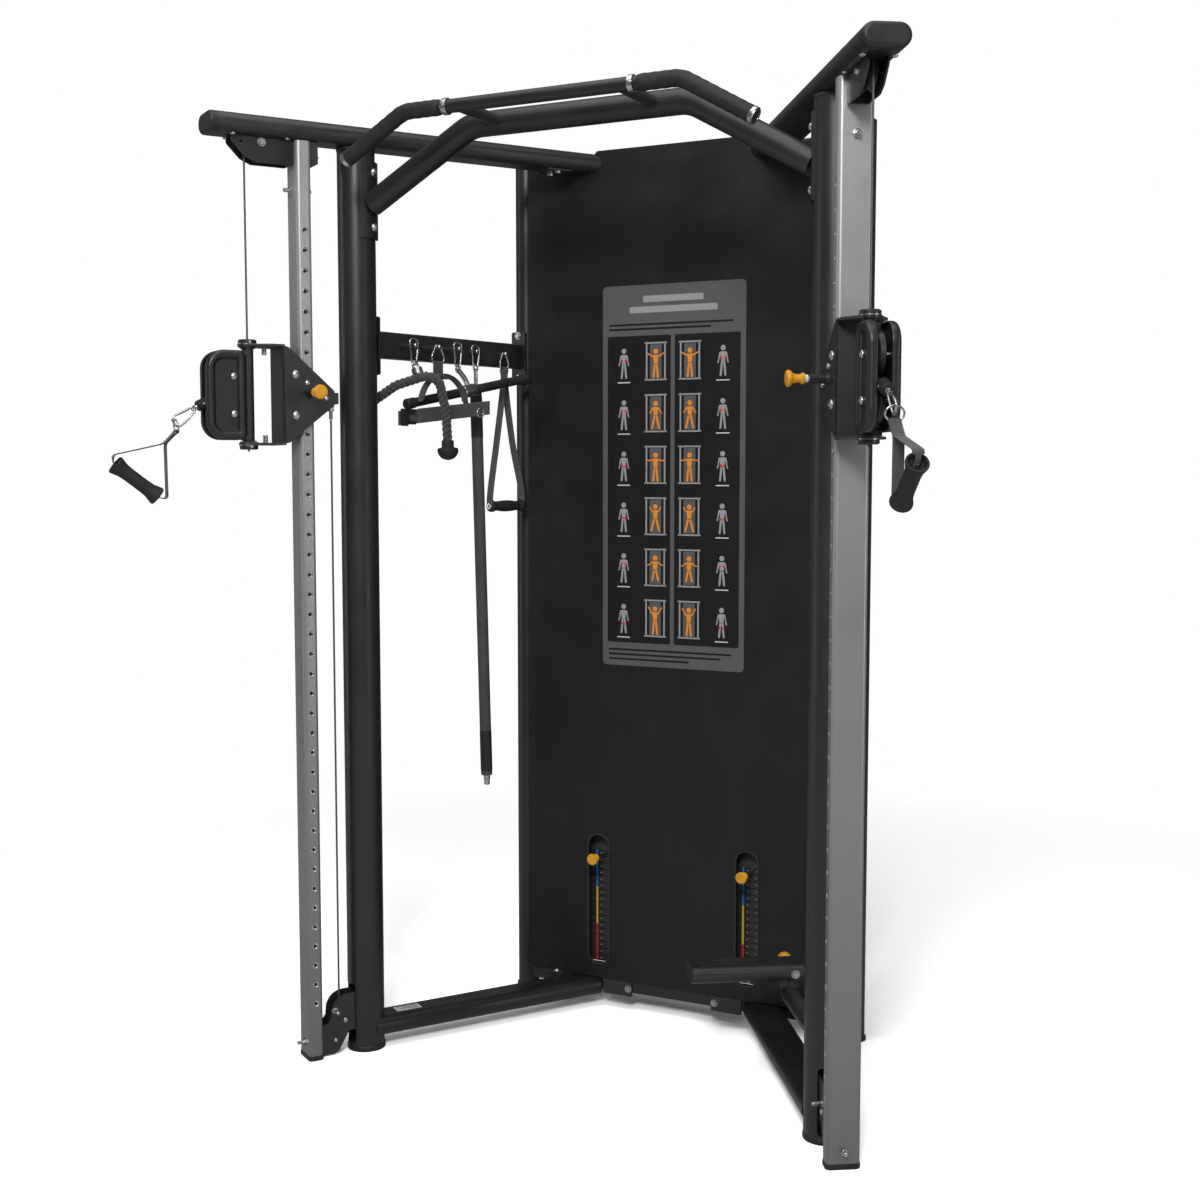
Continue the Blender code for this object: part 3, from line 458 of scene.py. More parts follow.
class Paint:
    """A material's node tree, with short calls to add nodes and link them."""

    def __init__(self, name):
        self.material = bpy.data.materials.new(name)
        self.material.use_nodes = True
        self.tree = self.material.node_tree
        self.shader = self.tree.nodes["Principled BSDF"]
        self.place = self.node("ShaderNodeTexCoord").outputs["Object"]

    def node(self, kind, inputs=None, **settings):
        made = self.tree.nodes.new(kind)
        for key, value in settings.items():
            setattr(made, key, value)
        for key, value in (inputs or {}).items():
            socket = made.inputs[key]
            if isinstance(value, bpy.types.NodeSocket):
                self.tree.links.new(value, socket)
            else:
                socket.default_value = value
        return made

    def noise(self, scale, detail=3.0, rough=0.55, vector=None):
        inputs = {"Vector": vector or self.place, "Scale": scale, "Detail": detail, "Roughness": rough}
        return self.node("ShaderNodeTexNoise", inputs).outputs["Fac"]

    def spread(self, value, low, high, start=0.35, end=0.65):
        inputs = {"Value": value, "From Min": start, "From Max": end, "To Min": low, "To Max": high}
        return self.node("ShaderNodeMapRange", inputs).outputs["Result"]

    def mix(self, amount, first, second):
        made = self.node("ShaderNodeMix", data_type="RGBA")
        for key, value in ((0, amount), (6, first), (7, second)):
            if isinstance(value, bpy.types.NodeSocket):
                self.tree.links.new(value, made.inputs[key])
            else:
                made.inputs[key].default_value = (*value, 1.0) if isinstance(value, tuple) else value
        return made.outputs[2]

    def math(self, operation, a, b=0.0):
        return self.node("ShaderNodeMath", {0: a, 1: b}, operation=operation).outputs[0]

    def set(self, **values):
        for key, value in values.items():
            socket = self.shader.inputs[key.replace("_", " ")]
            if isinstance(value, bpy.types.NodeSocket):
                self.tree.links.new(value, socket)
            else:
                socket.default_value = value

    def bump(self, height, depth, strength=0.6):
        made = self.node("ShaderNodeBump", {"Height": height, "Distance": depth, "Strength": strength})
        self.set(Normal=made.outputs["Normal"])


def coated_metal(name, dark, light, roughness, grain=1400, depth=0.00025, metallic=0.0, specular=0.5,
                 edge_highlight=0.0):
    """Powder coat: an orange-peel grain, faint clouds in tone and sheen, and painted highlights along edges.
    """
    paint = Paint(name)
    clouds = paint.noise(7.0, 4.0)
    speck = paint.noise(grain, 2.0)
    colour = paint.mix(paint.spread(clouds, 0.0, 1.0), dark, light)
    flecks = paint.spread(speck, 0.0, 0.35, 0.5, 0.8)
    colour = paint.mix(flecks, colour, tuple(min(1.0, c * 1.9 + 0.004) for c in light))
    # painted highlight: edges picked out by pointiness get a paler base colour, standing in for the light
    # they catch
    if edge_highlight:
        edges = paint.node("ShaderNodeNewGeometry").outputs["Pointiness"]
        highlight_colour = tuple(c * 3.2 + 0.012 for c in light)
        colour = paint.mix(paint.spread(edges, 0.0, edge_highlight, 0.52, 0.60), colour, highlight_colour)
    paint.set(Base_Color=colour, Roughness=paint.spread(clouds, roughness - 0.05, roughness + 0.06),
              Metallic=metallic, Specular_IOR_Level=specular)
    paint.bump(speck, depth, 0.35)
    return paint.material


def column_paint():
    """Silver powder coat with fine metal flakes, and painted shade that makes it darker towards the floor."""
    paint = Paint("silver_powder_coat")
    height = paint.node("ShaderNodeSeparateXYZ", {"Vector": paint.place}).outputs["Z"]
    # painted shade: the colour runs from the lit grey at 2.3 m down to a dark grey at the floor
    painted_shade = paint.spread(height, 0.0, 1.0, 0.0, 2.3)
    base = paint.mix(painted_shade, (0.15, 0.15, 0.155), (0.42, 0.42, 0.43))
    flakes = paint.noise(2600, 2.0)
    colour = paint.mix(paint.spread(flakes, 0.0, 0.55, 0.48, 0.74), base, (0.62, 0.62, 0.64))
    clouds = paint.noise(5.0, 4.0)
    paint.set(Base_Color=colour, Metallic=0.55, Roughness=paint.spread(clouds, 0.34, 0.44))
    paint.bump(flakes, 0.0002, 0.3)
    return paint.material


def bright_metal(name, colour, roughness, brushed=300):
    """Zinc or chrome plate with faint smears and fine turning marks."""
    paint = Paint(name)
    smears = paint.noise(60, 4.0)
    lines = paint.noise(brushed, 2.0)
    darker = tuple(c * 0.72 for c in colour)
    paint.set(Base_Color=paint.mix(paint.spread(smears, 0.0, 0.6), colour, darker), Metallic=1.0,
              Roughness=paint.spread(lines, roughness, roughness + 0.12))
    paint.bump(lines, 0.0001, 0.25)
    return paint.material


def moulded(name, dark, light, roughness, grain=900, depth=0.0003, specular=0.45):
    """Moulded plastic or rubber with a leathery grain."""
    paint = Paint(name)
    cells = paint.node("ShaderNodeTexVoronoi", {"Vector": paint.place, "Scale": grain}).outputs["Distance"]
    clouds = paint.noise(22, 4.0)
    colour = paint.mix(paint.spread(clouds, 0.0, 1.0), dark, light)
    paint.set(Base_Color=colour, Roughness=paint.spread(clouds, roughness - 0.05, roughness + 0.08),
              Specular_IOR_Level=specular)
    paint.bump(cells, depth, 0.5)
    return paint.material


def woven(name, dark, light, scale=900):
    """Woven fibres: fine crossing yarns over slow changes in tone."""
    paint = Paint(name)
    waves = []
    for turn in (0.6, -0.6):
        tilt = (turn, turn * 0.7, turn * 1.3)
        lay = paint.node("ShaderNodeMapping", {"Vector": paint.place, "Rotation": tilt})
        inputs = {"Vector": lay.outputs["Vector"], "Scale": scale / 3, "Distortion": 1.2, "Detail": 1.0}
        waves.append(paint.node("ShaderNodeTexWave", inputs).outputs["Fac"])
    yarn = paint.math("MULTIPLY", waves[0], waves[1])
    fuzz = paint.noise(400, 4.0)
    colour = paint.mix(paint.spread(yarn, 0.0, 1.0, 0.05, 0.7), dark, light)
    colour = paint.mix(paint.spread(fuzz, 0.0, 0.5), colour, tuple(c * 0.6 for c in dark))
    paint.set(Base_Color=colour, Roughness=0.88, Specular_IOR_Level=0.25, Sheen_Weight=0.25)
    paint.bump(yarn, 0.0004, 0.8)
    return paint.material


def cable_jacket():
    """The strands of a steel cable showing through a thin clear-grey jacket."""
    paint = Paint("coated_cable")
    lay = paint.node("ShaderNodeMapping", {"Vector": paint.place, "Rotation": (0.6, 0.6, 0.4)})
    inputs = {"Vector": lay.outputs["Vector"], "Scale": 190.0, "Distortion": 0.4}
    lines = paint.node("ShaderNodeTexWave", inputs, bands_direction="Z").outputs["Fac"]
    paint.set(Base_Color=paint.mix(lines, (0.045, 0.045, 0.048), (0.16, 0.16, 0.165)), Metallic=0.35,
              Roughness=paint.spread(lines, 0.30, 0.42, 0.0, 1.0))
    paint.bump(lines, 0.0003, 0.5)
    return paint.material


def printed(name, colour, roughness=0.42):
    """Ink on a vinyl sheet, with a slight print grain."""
    paint = Paint(name)
    dots = paint.noise(1800, 2.0)
    wide = paint.noise(9, 3.0)
    base = paint.mix(paint.spread(dots, 0.0, 0.25), colour, tuple(c * 0.7 for c in colour))
    paint.set(Base_Color=base, Roughness=paint.spread(wide, roughness - 0.04, roughness + 0.05),
              Specular_IOR_Level=0.3)
    return paint.material


# the last argument of each coat sets the strength of its painted edge highlight
black = coated_metal("black_powder_coat", (0.0085, 0.0085, 0.0090), (0.0125, 0.0125, 0.0132), 0.36,
                     edge_highlight=0.5)
sheet = coated_metal("black_sheet", (0.0080, 0.0080, 0.0082), (0.0100, 0.0100, 0.0104), 0.42, grain=1000,
                     specular=0.30, edge_highlight=0.35)
iron = coated_metal("black_cast_iron", (0.010, 0.010, 0.010), (0.018, 0.018, 0.018), 0.55, grain=500,
                    depth=0.0006,
                    edge_highlight=0.6)
silver = column_paint()
zinc = bright_metal("zinc_steel", (0.55, 0.55, 0.56), 0.26)
chrome = bright_metal("chrome_steel", (0.56, 0.56, 0.57), 0.17, 200)
yellow = moulded("yellow_plastic", (0.62, 0.28, 0.008), (0.72, 0.34, 0.014), 0.34, depth=0.0001)
plastic = moulded("black_plastic", (0.010, 0.010, 0.010), (0.017, 0.017, 0.017), 0.46)
nylon = moulded("black_nylon", (0.013, 0.013, 0.013), (0.022, 0.022, 0.022), 0.40, 600)
rubber = moulded("black_rubber", (0.012, 0.012, 0.012), (0.022, 0.022, 0.022), 0.62, 700, 0.0005, 0.35)
grey_rubber = moulded("grey_rubber", (0.045, 0.045, 0.047), (0.062, 0.062, 0.064), 0.60, 700, 0.0005, 0.35)
white_nylon = moulded("white_nylon", (0.62, 0.62, 0.60), (0.74, 0.74, 0.72), 0.40)
webbing = woven("grey_webbing", (0.055, 0.055, 0.057), (0.125, 0.125, 0.130))
cord = woven("rope_fibre", (0.050, 0.050, 0.052), (0.125, 0.125, 0.130), 1400)
thread = woven("light_thread", (0.20, 0.20, 0.21), (0.32, 0.32, 0.33), 2000)
coated = cable_jacket()
ink = {name: printed("ink_" + name, colour) for name, colour in {
    "grey": (0.100, 0.102, 0.106), "pale": (0.33, 0.33, 0.34), "black": (0.008, 0.008, 0.008),
    "white": (0.62, 0.62, 0.62), "orange": (0.80, 0.27, 0.03), "red": (0.62, 0.035, 0.03),
    "yellow": (0.80, 0.55, 0.03), "blue": (0.03, 0.22, 0.55)}.items()}


# ---------------------------------------------------------------- pieces


def piece(name, body, parts, place=FLAT, replaces=(), blend=None):
    """One object from (mesh or meshes, material) pairs, riding on a body, or baked in place on no body when a
    blend is given.
    """
    bm = bmesh.new()
    looks = []
    for shapes, look in parts:
        if look not in looks:
            looks.append(look)
        for shape in shapes if isinstance(shapes, (list, tuple)) else [shapes]:
            start = len(bm.faces)
            bm.from_mesh(shape)
            bm.faces.ensure_lookup_table()
            for face in bm.faces[start:]:
                face.material_index = looks.index(look)
    bm.transform(place)
    if place.determinant() < 0:
        bmesh.ops.reverse_faces(bm, faces=bm.faces)
    mesh = bpy.data.meshes.new(name)
    bm.to_mesh(mesh)
    bm.free()
    for look in looks:
        mesh.materials.append(look)
    mesh.shade_smooth()
    mesh.set_sharp_from_angle(angle=math.radians(38))
    obj = bpy.data.objects.new(name, mesh)
    bpy.context.scene.collection.objects.link(obj)
    even_shade = obj.modifiers.new("even_shade", "WEIGHTED_NORMAL")
    even_shade.keep_sharp = True
    if blend:
        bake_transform(obj)
    else:
        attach(obj, body)
    if replaces:
        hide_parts(*replaces)
    return obj


def pair(name, body, parts, replaces=(), blend=None):
    """The same piece on both wings; body and node names get the side at their end, except the frame."""
    for side in SIDES:
        own = body if body == "frame" else f"{body}_{side}"
        nodes = [f"{node}_{side}" for node in replaces]
        bend = None
        if blend:
            bend = (f"{blend[0]}_{side}", WING[side] @ Vector(blend[1]), WING[side] @ Vector(blend[2]))
        piece(f"{name}_{side}", own, parts, WING[side], nodes, bend)


def finish_node(name, look, width=0.0008):
    """A carried-over CAD node: rounded edges and a finer material."""
    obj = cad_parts[name]
    obj.data.materials.clear()
    obj.data.materials.append(look)
    weld = obj.modifiers.new("weld", "WELD")
    weld.merge_threshold = 0.00002
    bevel = obj.modifiers.new("bevel", "BEVEL")
    bevel.width = width
    bevel.segments = 2
    bevel.limit_method = "ANGLE"
    bevel.angle_limit = math.radians(40)
    obj.modifiers.new("even_shade", "WEIGHTED_NORMAL").keep_sharp = True


# ---------------------------------------------------------------- tower


def tower():
    """Rear posts, cross tubes and tabs, the finish of the carried-over sheet and stack, and the screws."""
    parts = []
    for x in (-REAR_X, REAR_X):
        post = cylinder(0.030, 0.008, tower_high.z - 0.010, (x, REAR_Y, 0), steps=56, edge=0.001)
        foot = lathe([(0, 0), (0.034, 0), (0.034, 0.010), (0.0306, 0.013), (0, 0.013)], (x, REAR_Y, 0),
                     steps=56,
                     edge=0.0015)
        cap = lathe([(0, 0.0), (0.0300, 0), (0.0300, 0.007), (0.026, 0.010), (0, 0.010)],
                    (x, REAR_Y, tower_high.z - 0.010), steps=56, edge=0.002)
        parts += [(post, black), ([foot, cap], plastic)]
    reach = REAR_X - 0.012
    tubes = [box((-reach, 0.065, z), (reach, 0.104, z + 0.050), 0.004) for z in (0.030, beam_low.z)]
    tabs, bolts = [], []
    for side in (-1, 1):
        for z in (0.25, 0.89, 2.21):
            a, b = sorted((side * reach, side * (panel_high.x + 0.0003)))
            tabs.append(box((a, 0.070, z), (b, 0.099, z + 0.040), 0.002))
            bolts += dome_bolt((side * (panel_high.x + 0.022), 0.070, z + 0.020), (0, -1, 0), 0.0065, 0.004)
    parts += [(tubes + tabs, black), (bolts, zinc)]
    piece("tower_posts", "frame", parts, replaces=["tower_frame"])
    for node in ("front_shroud", "rear_shroud"):
        finish_node(node, sheet, 0.0009)
    finish_node("base_crossbar", black, 0.0015)
    finish_node("guide_rod_frame", chrome, 0.0006)
    for side in SIDES:
        finish_node("weight_plates_" + side, iron, 0.0005)
        finish_node("head_plate_" + side, iron, 0.0010)
    screws = []
    for x in (-0.439, 0.439):
        for z in (2.233, 0.905, 0.268):
            side = 1 if x > 0 else -1
            screws += dome_bolt((side * panel_high.x, 0.030, z), (side, 0, 0), 0.0050, 0.0030)
    for x in (-0.13, 0.13):
        screws += hex_bolt((x, 0.0005, 0.065), (0, -1, 0), 0.0080, 0.0055)
    piece("panel_screws", "frame", [(screws, zinc)])


def panel_trim():
    """A raised frame along each slot, and the small foot bolted where the left base tube meets the panel."""
    parts = []
    for x in (-0.222, 0.222):
        outer = [(x + p[0], 0.310 + p[1]) for p in rectangle(0.072, 0.376, 0.031, 8)]
        inner = [(x + p[0], 0.310 + p[1]) for p in rectangle(0.0588, 0.3628, 0.0255, 8)]
        parts.append((side_plate(outer, -0.0024, 0.0005, 0.0009, [inner]), plastic))
    piece("slot_frames", "frame", parts)
    foot = box((-0.395, -0.0180, 0.0835), (-0.330, 0.0005, 0.0885), 0.0020)
    bolt = dome_bolt((-0.352, -0.0090, 0.0885), (0, 0, 1), 0.0085, 0.0060)
    piece("panel_foot", "frame", [(foot, black), (bolt, zinc)])


# ---------------------------------------------------------------- placard


def capsule(a, b, radius):
    """A flat rounded bar between two points."""
    a, b = Vector(a), Vector(b)
    angle = math.degrees(math.atan2(b.y - a.y, b.x - a.x))
    return arc(b, radius, angle - 90, angle + 90, 4) + arc(a, radius, angle + 90, angle + 270, 4)


def figure(x, z, scale, arms, legs):
    """A plain pictogram of a person: a round head and straight limbs."""
    shapes = [circle(0.0048, 12)]
    shapes[0] = [(px, pz + 0.0235) for px, pz in shapes[0]]
    shapes.append([(-0.0052, 0.0170), (0.0052, 0.0170), (0.0036, 0.0), (-0.0036, 0.0)])
    for side in (-1, 1):
        hand = (side * arms[0], arms[1])
        elbow = (side * (0.006 + arms[0]) / 2, (0.015 + arms[1]) / 2 - 0.001)
        shapes += [capsule((side * 0.006, 0.015), elbow, 0.0014), capsule(elbow, hand, 0.0012)]
        shapes.append(capsule((side * 0.002, 0.0005), (side * legs[0], legs[1]), 0.0019))
    return [[(x + px * scale, z + pz * scale) for px, pz in shape] for shape in shapes]


def placard():
    """A grey sheet with plain bars for its heading and notes, and two columns of exercise pictograms."""
    low_z, high_z, half = 0.976, 2.007, 0.209
    mid = (low_z + high_z) / 2
    base = [(p[0], mid + p[1]) for p in rectangle(2 * half, high_z - low_z, 0.012, 5)]
    layers = {name: [] for name in ink}

    def lay(name, outline, level):
        layers[name].append(side_plate(outline, 0.0, level, 0))

    def block(name, x0, z0, x1, z1, level, radius=0.002):
        middle = ((x0 + x1) / 2, (z0 + z1) / 2)
        shape = [(middle[0] + x, middle[1] + z) for x, z in rectangle(x1 - x0, z1 - z0, radius, 2)]
        lay(name, shape, level)

    layers["grey"].append(side_plate(base, -0.0002, 0.0006, 0.0002))
    for z, reach in ((1.969, 0.088), (1.941, 0.128)):
        block("pale", -reach, z - 0.0085, reach, z + 0.0085, 0.0009, 0.003)
    for z, reach in ((1.902, 0.182), (1.890, 0.150), (1.020, 0.182), (1.007, 0.166), (0.994, 0.120)):
        block("black", -0.190, z - 0.0026, -0.190 + 2 * reach, z + 0.0026, 0.0009, 0.001)
    top, bottom, rows = 1.872, 1.040, 6
    for side in (-1, 1):
        near, far = sorted((side * 0.006, side * 0.194))
        block("black", near, bottom, far, top, 0.0009, 0.004)
        for row in range(rows):
            z = top - (row + 0.5) * (top - bottom) / rows
            icon, body = side * 0.050, side * 0.145
            for x in (icon - 0.027, icon + 0.027):
                block("pale", x - 0.0022, z - 0.050, x + 0.0022, z + 0.052, 0.0012, 0.001)
            for height in (z + 0.049, z - 0.049):
                block("pale", icon - 0.033, height - 0.002, icon + 0.033, height + 0.002, 0.0012, 0.001)
            block("grey", icon - 0.017, z - 0.045, icon + 0.017, z + 0.045, 0.0011, 0.001)
            arms = ((0.016, 0.020), (0.012, 0.006), (0.018, 0.014), (0.011, 0.022), (0.015, 0.010),
                    (0.013, 0.026))[row]
            legs = ((0.0045, -0.024), (0.007, -0.022), (0.0045, -0.024), (0.008, -0.021), (0.006, -0.018),
                    (0.0045, -0.024))[row]
            for shape in figure(icon, z - 0.008, 1.45, arms, legs):
                lay("orange", shape, 0.0015)
            for shape in figure(body, z - 0.006, 1.5, (0.0095, -0.002), (0.0045, -0.024)):
                lay("pale", shape, 0.0012)
            muscle = (0.010, 0.012, 0.004, 0.000, 0.014, -0.012)[row]
            for shift in (-0.0035, 0.0035):
                spot = [(body + shift * 1.5 + px, z - 0.006 + muscle + pz) for px, pz in circle(0.0032, 10)]
                lay("red", spot, 0.0015)
            block("white", body - 0.019, z - 0.0565, body + 0.019, z - 0.0535, 0.0012, 0.0006)
    parts = [(shapes, ink[name]) for name, shapes in layers.items() if shapes]
    turn = Matrix.Diagonal((1, -1, 1, 1))
    piece("placard", "frame", parts, turn)


def stack_scales():
    """A colour strip and plain ticks beside each weight stack."""
    for side, sign in (("left", -1), ("right", 1)):
        low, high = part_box("weight_plates_" + side)
        centre, front = sign * 0.222, low.y
        face = front + 0.0005
        third = (high.z - low.z) / 3
        parts = []
        for i, name in enumerate(("red", "yellow", "blue")):
            z = low.z + i * third
            strip = box((centre - 0.0300, front - 0.0012, z), (centre - 0.0245, front + 0.001, z + third),
                        0.0002)
            parts.append((strip, ink[name]))
        pitch = (high.z + 0.002 - low.z) / PLATE_COUNT
        middles = [low.z + (i + 0.5) * pitch - 0.001 for i in range(PLATE_COUNT)]
        ticks = []
        for i, z in enumerate(middles):
            left, right = centre + 0.010, centre + 0.010 + (0.0085 if i % 2 else 0.0115)
            ticks.append(box((left, front - 0.0006, z - 0.0011), (right, face, z + 0.0011), 0.0002))
            left, right = centre - 0.0165, centre - 0.0125
            ticks.append(box((left, front - 0.0006, z - 0.0008), (right, face, z + 0.0008), 0.0002))
        parts.append((ticks, ink["white"]))
        holes = [hollow(0.0058, 0.0078, 0, 0.0007, (centre, front + 0.0001, z), (0, -1, 0), 20)
                 for z in middles]
        parts.append((holes, iron))
        piece("stack_scale_" + side, "frame", parts)


def selector_pins():
    """The yellow selector knob on its pin, with the coil of its tether."""
    for side in SIDES:
        low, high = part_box("selector_pin_" + side)
        x, z = (low.x + high.x) / 2, (low.z + high.z) / 2
        start, reach = -0.019, high.y
        profile = [(0, 0), (0.0112, 0), (0.0112, 0.0030), (0.0085, 0.0060), (0.0088, 0.0100),
                   (0.0150, 0.0170),
                   (0.0160, 0.0205), (0.0150, 0.0245), (0.0110, 0.0258), (0, 0.0258)]
        knob = lathe(profile, (x, start, z), (0, -1, 0), 44, edge=0.0012)
        steel = lathe([(0, 0), (0.0045, 0), (0.0045, reach + 0.017), (0.0030, reach + 0.019),
                       (0, reach + 0.019)],
                      (x, start, z), (0, 1, 0), 20, edge=0.0004)
        turns, coil = 7, []
        for i in range(turns * 12 + 1):
            a = math.tau * i / 12
            along = start + 0.0035 + 0.0105 * i / (turns * 12)
            coil.append((x + 0.0066 * math.cos(a), along, z + 0.0066 * math.sin(a)))
        piece("selector_knob_" + side, "selector_pin_" + side,
              [(knob, yellow), (steel, zinc), (rod(coil, 0.0009, 6), plastic)],
              replaces=["selector_pin_" + side])


# ---------------------------------------------------------------- wings


def beams():
    """A flat oval tube with a domed end cap, slotted above the top pulley."""
    width, height = OVAL_WIDTH, OVAL_HEIGHT
    z = beam_high.z - height / 2
    seam = beam_high.x - 0.025
    tube = plate(oval(width, height, 16), beam_low.x, seam, Matrix.Translation((0, 0, z)) @ END_ON, 0.0006)
    tube = boolean(tube, [box((0.859, -0.0120, beam_low.z - 0.01), (0.945, 0.0120, 2.3465), 0)])
    steps = [(0.0, 0.0)]
    steps += [(0.0150 + 0.0100 * math.sin(a), 0.0110 * (1 - math.cos(a)))
              for a in radians_of((0, 15, 30, 45, 60, 72, 82))]
    cap = loft([[(seam + x, px, z + pz) for px, pz in oval(width - 2 * inset, height - 2 * inset, 16)]
                for x, inset in steps])
    bolts = []
    for s in (0.841, 0.975):
        for w in (-0.032, 0.032):
            bolts += dome_bolt((s, w, beam_low.z + 0.0004), (0, 0, -1), 0.0070, 0.0042)
    gussets = box((0.050, -0.036, beam_low.z - 0.0035), (0.120, 0.036, beam_low.z + 0.001), 0.0010)
    for w in (-0.022, 0.022):
        bolts += hex_bolt((0.085, w, beam_low.z - 0.0035), (0, 0, -1), 0.0075, 0.0050)
    pair("beam", "frame", [([tube, gussets], black), (cap, plastic), (bolts, zinc)], ["wing_beam"])


def base_tubes():
    """The flat oval tubes on the floor, and the plain label on the left one."""
    z = (base_low.z + base_high.z) / 2
    tube = plate(oval(OVAL_WIDTH, OVAL_HEIGHT, 16), base_low.x, POST_S - 0.012,
                 Matrix.Translation((0, 0, z)) @ END_ON,
                 0.0006)
    pair("base", "frame", [(tube, black)], ["base_tube"])
    label = box((0.500, -0.017, base_high.z - 0.0002), (0.570, 0.017, base_high.z + 0.0005), 0.0002)
    bars = []
    for i, reach in enumerate((0.055, 0.040, 0.050, 0.030)):
        near, far = -0.012 + 0.007 * i, -0.009 + 0.007 * i
        bars.append(box((0.506, near, base_high.z), (0.506 + reach, far, base_high.z + 0.0007), 0.0001))
    piece("size_label", "frame", [(label, ink["white"]), (bars, ink["grey"])], WING["left"])


def posts():
    """The round front posts, slotted at the foot for the lower pulley."""
    r, top = POST_RADIUS, post_high.z
    tube = cylinder(r, 0.012, top, (POST_S, 0, 0), steps=80, edge=0.0008)
    foot = lathe([(0, 0), (r + 0.002, 0), (r + 0.002, 0.0105), (r + 0.0006, 0.0145), (0, 0.0145)],
                 (POST_S, 0, 0),
                 steps=80, edge=0.0018)
    mouth = [(p[0], 0.099 + p[1]) for p in rectangle(0.053, 0.158, 0.010, 5)]
    slot = plate(mouth, 0.6557, 0.75, END_ON, 0)
    tube = boolean(tube, [slot])
    ring = lathe([(r - 0.001, 0), (r + 0.0016, 0), (r + 0.0016, 0.0035), (r - 0.001, 0.0060)],
                 (POST_S, 0, top - 0.0062), steps=80, ring=True)
    pair("post", "frame", [([tube, ring], black), (foot, plastic)], ["front_post"])


def columns():
    """The drilled square columns that the carriages slide on."""
    along, across, corner = 0.038, 0.076, 0.010
    top = column_high.z
    outline = [(COLUMN_S + p[0], p[1]) for p in rectangle(along, across, corner, 6)]
    shaft = plate(outline, 0.010, top, FLAT, 0)
    face = across / 2
    holes, rims = [], []
    drill = [(0, 0.010), (0.0056, 0.010), (0.0065, 0.009), (0.0065, -0.0012), (0.0083, -0.0030),
             (0.0083, -0.01), (0, -0.01)]
    lip = [(0.0034, -0.0040), (0.0064, -0.0040), (0.0078, 0.0002), (0.0064, 0.0006), (0.0044, -0.0010)]
    for z in HOLES:
        holes.append(lathe(drill, (COLUMN_S, face - 0.0022, z), (0, -1, 0), 20))
        rims.append(lathe(lip, (COLUMN_S, face, z), (0, 1, 0), 20, ring=True))
    shaft = boolean(shaft, [merged(holes)])
    rim = rectangle(along + 0.003, across + 0.003, corner + 0.0015, 6)
    cap = plate([(COLUMN_S + x, y) for x, y in rim], 0.0, 0.013, FLAT, 0.0018)
    fixings = stud_nut((COLUMN_S + along / 2, 0, 2.198), (1, 0, 0), 0.0100, 0.0050, 0.0210)
    fixings += stud_nut((COLUMN_S - along / 2, 0, 2.198), (-1, 0, 0), 0.0095, 0.0050, 0.0120)
    fixings += stud_nut((COLUMN_S + along / 2, 0, 0.042), (1, 0, 0), 0.0085, 0.0046, 0.0200)
    fixings += stud_nut((0.7620, 0, 2.283), (-1, 0, 0), 0.0075, 0.0040, 0.0110)
    clamp = box((0.7620, -0.030, 2.2620), (COLUMN_S - along / 2 + 0.0005, 0.030, top), 0.0015)
    pair("column", "frame", [(shaft, silver), (cap, plastic), (clamp, black), (fixings + rims, zinc)],
         ["adjustment_column"])


def wheel(centre, radius, groove):
    """A nylon pulley with a rounded groove, a hub, six ribs and a bearing."""
    half, bore, hub = 0.010, 0.0056, 0.0125
    rim = radius - 0.0085
    side = [(bore, half), (hub, half), (hub + 0.001, 0.0065), (rim - 0.001, 0.0065), (rim, half),
            (radius - 0.0012, half),
            (radius, half - 0.0014)]
    dish = [(groove + 0.0026 * (1 - math.cos(a)), 0.0034 * math.sin(a))
            for a in radians_of((70, 40, 0, -40, -70))]
    profile = side + dish + [(r, -h) for r, h in reversed(side)]
    shapes = [lathe(profile, centre, (0, 1, 0), 56, ring=True)]
    for i in range(6):
        turn = Matrix.Translation(Vector(centre)) @ Matrix.Rotation(math.radians(60 * i), 4, "Y")
        rib = box((hub - 0.001, -0.0092, -0.0016), (rim + 0.001, 0.0092, 0.0016), 0.0005)
        rib.transform(turn)
        shapes.append(rib)
    bearing = hollow(bore, 0.0098, 0.0104, -0.0104, centre, (0, 1, 0), 32, edge=0.0004)
    return [(shapes, nylon), (bearing, zinc)]


def wrap(wheel_centre, radius, start, end, steps=28):
    """The stretch of cable that lies in a pulley's groove, between two angles in degrees."""
    centre = (wheel_centre.x, wheel_centre.z)
    return rod([(x, 0, z) for x, z in arc(centre, radius, start, end, steps)], CABLE, 12)


def top_bracket():
    """Two plates under the beam with the pulley that turns the cable down to the carriage."""
    top = beam_low.z - 0.0003
    outline = soft([(0.823, 2.254), (0.918, 2.254), (0.945, 2.266), (0.992, top), (0.823, top)], 0.010, 4)
    hole = [(0.953 + x, 2.301 + z) for x, z in circle(0.0035, 14)]
    plates = [side_plate(outline, side * 0.020 - 0.002, side * 0.020 + 0.002, 0.0012, [hole])
              for side in (-1, 1)]
    spacer = box((0.824, -0.019, 2.256), (0.8315, 0.019, 2.300), 0.001)
    ends = []
    for side in (-1, 1):
        ends += hex_bolt((TOP_WHEEL.x, side * 0.0215, TOP_WHEEL.z), (0, side, 0), 0.0080, 0.0045)
    axle = cylinder(AXLE, -0.022, 0.022, TOP_WHEEL, (0, 1, 0), 20)
    pair("top_bracket", "frame", [(plates + [spacer], black), (ends + [axle], zinc)],
         ["top_pulley_bracket"])
    pair("top_wheel", "top_pulley", wheel(TOP_WHEEL, 0.041, 0.0355), ["top_pulley"])
    pair("top_wrap", "frame", [(wrap(TOP_WHEEL, 0.0380, 0, 165), coated)])


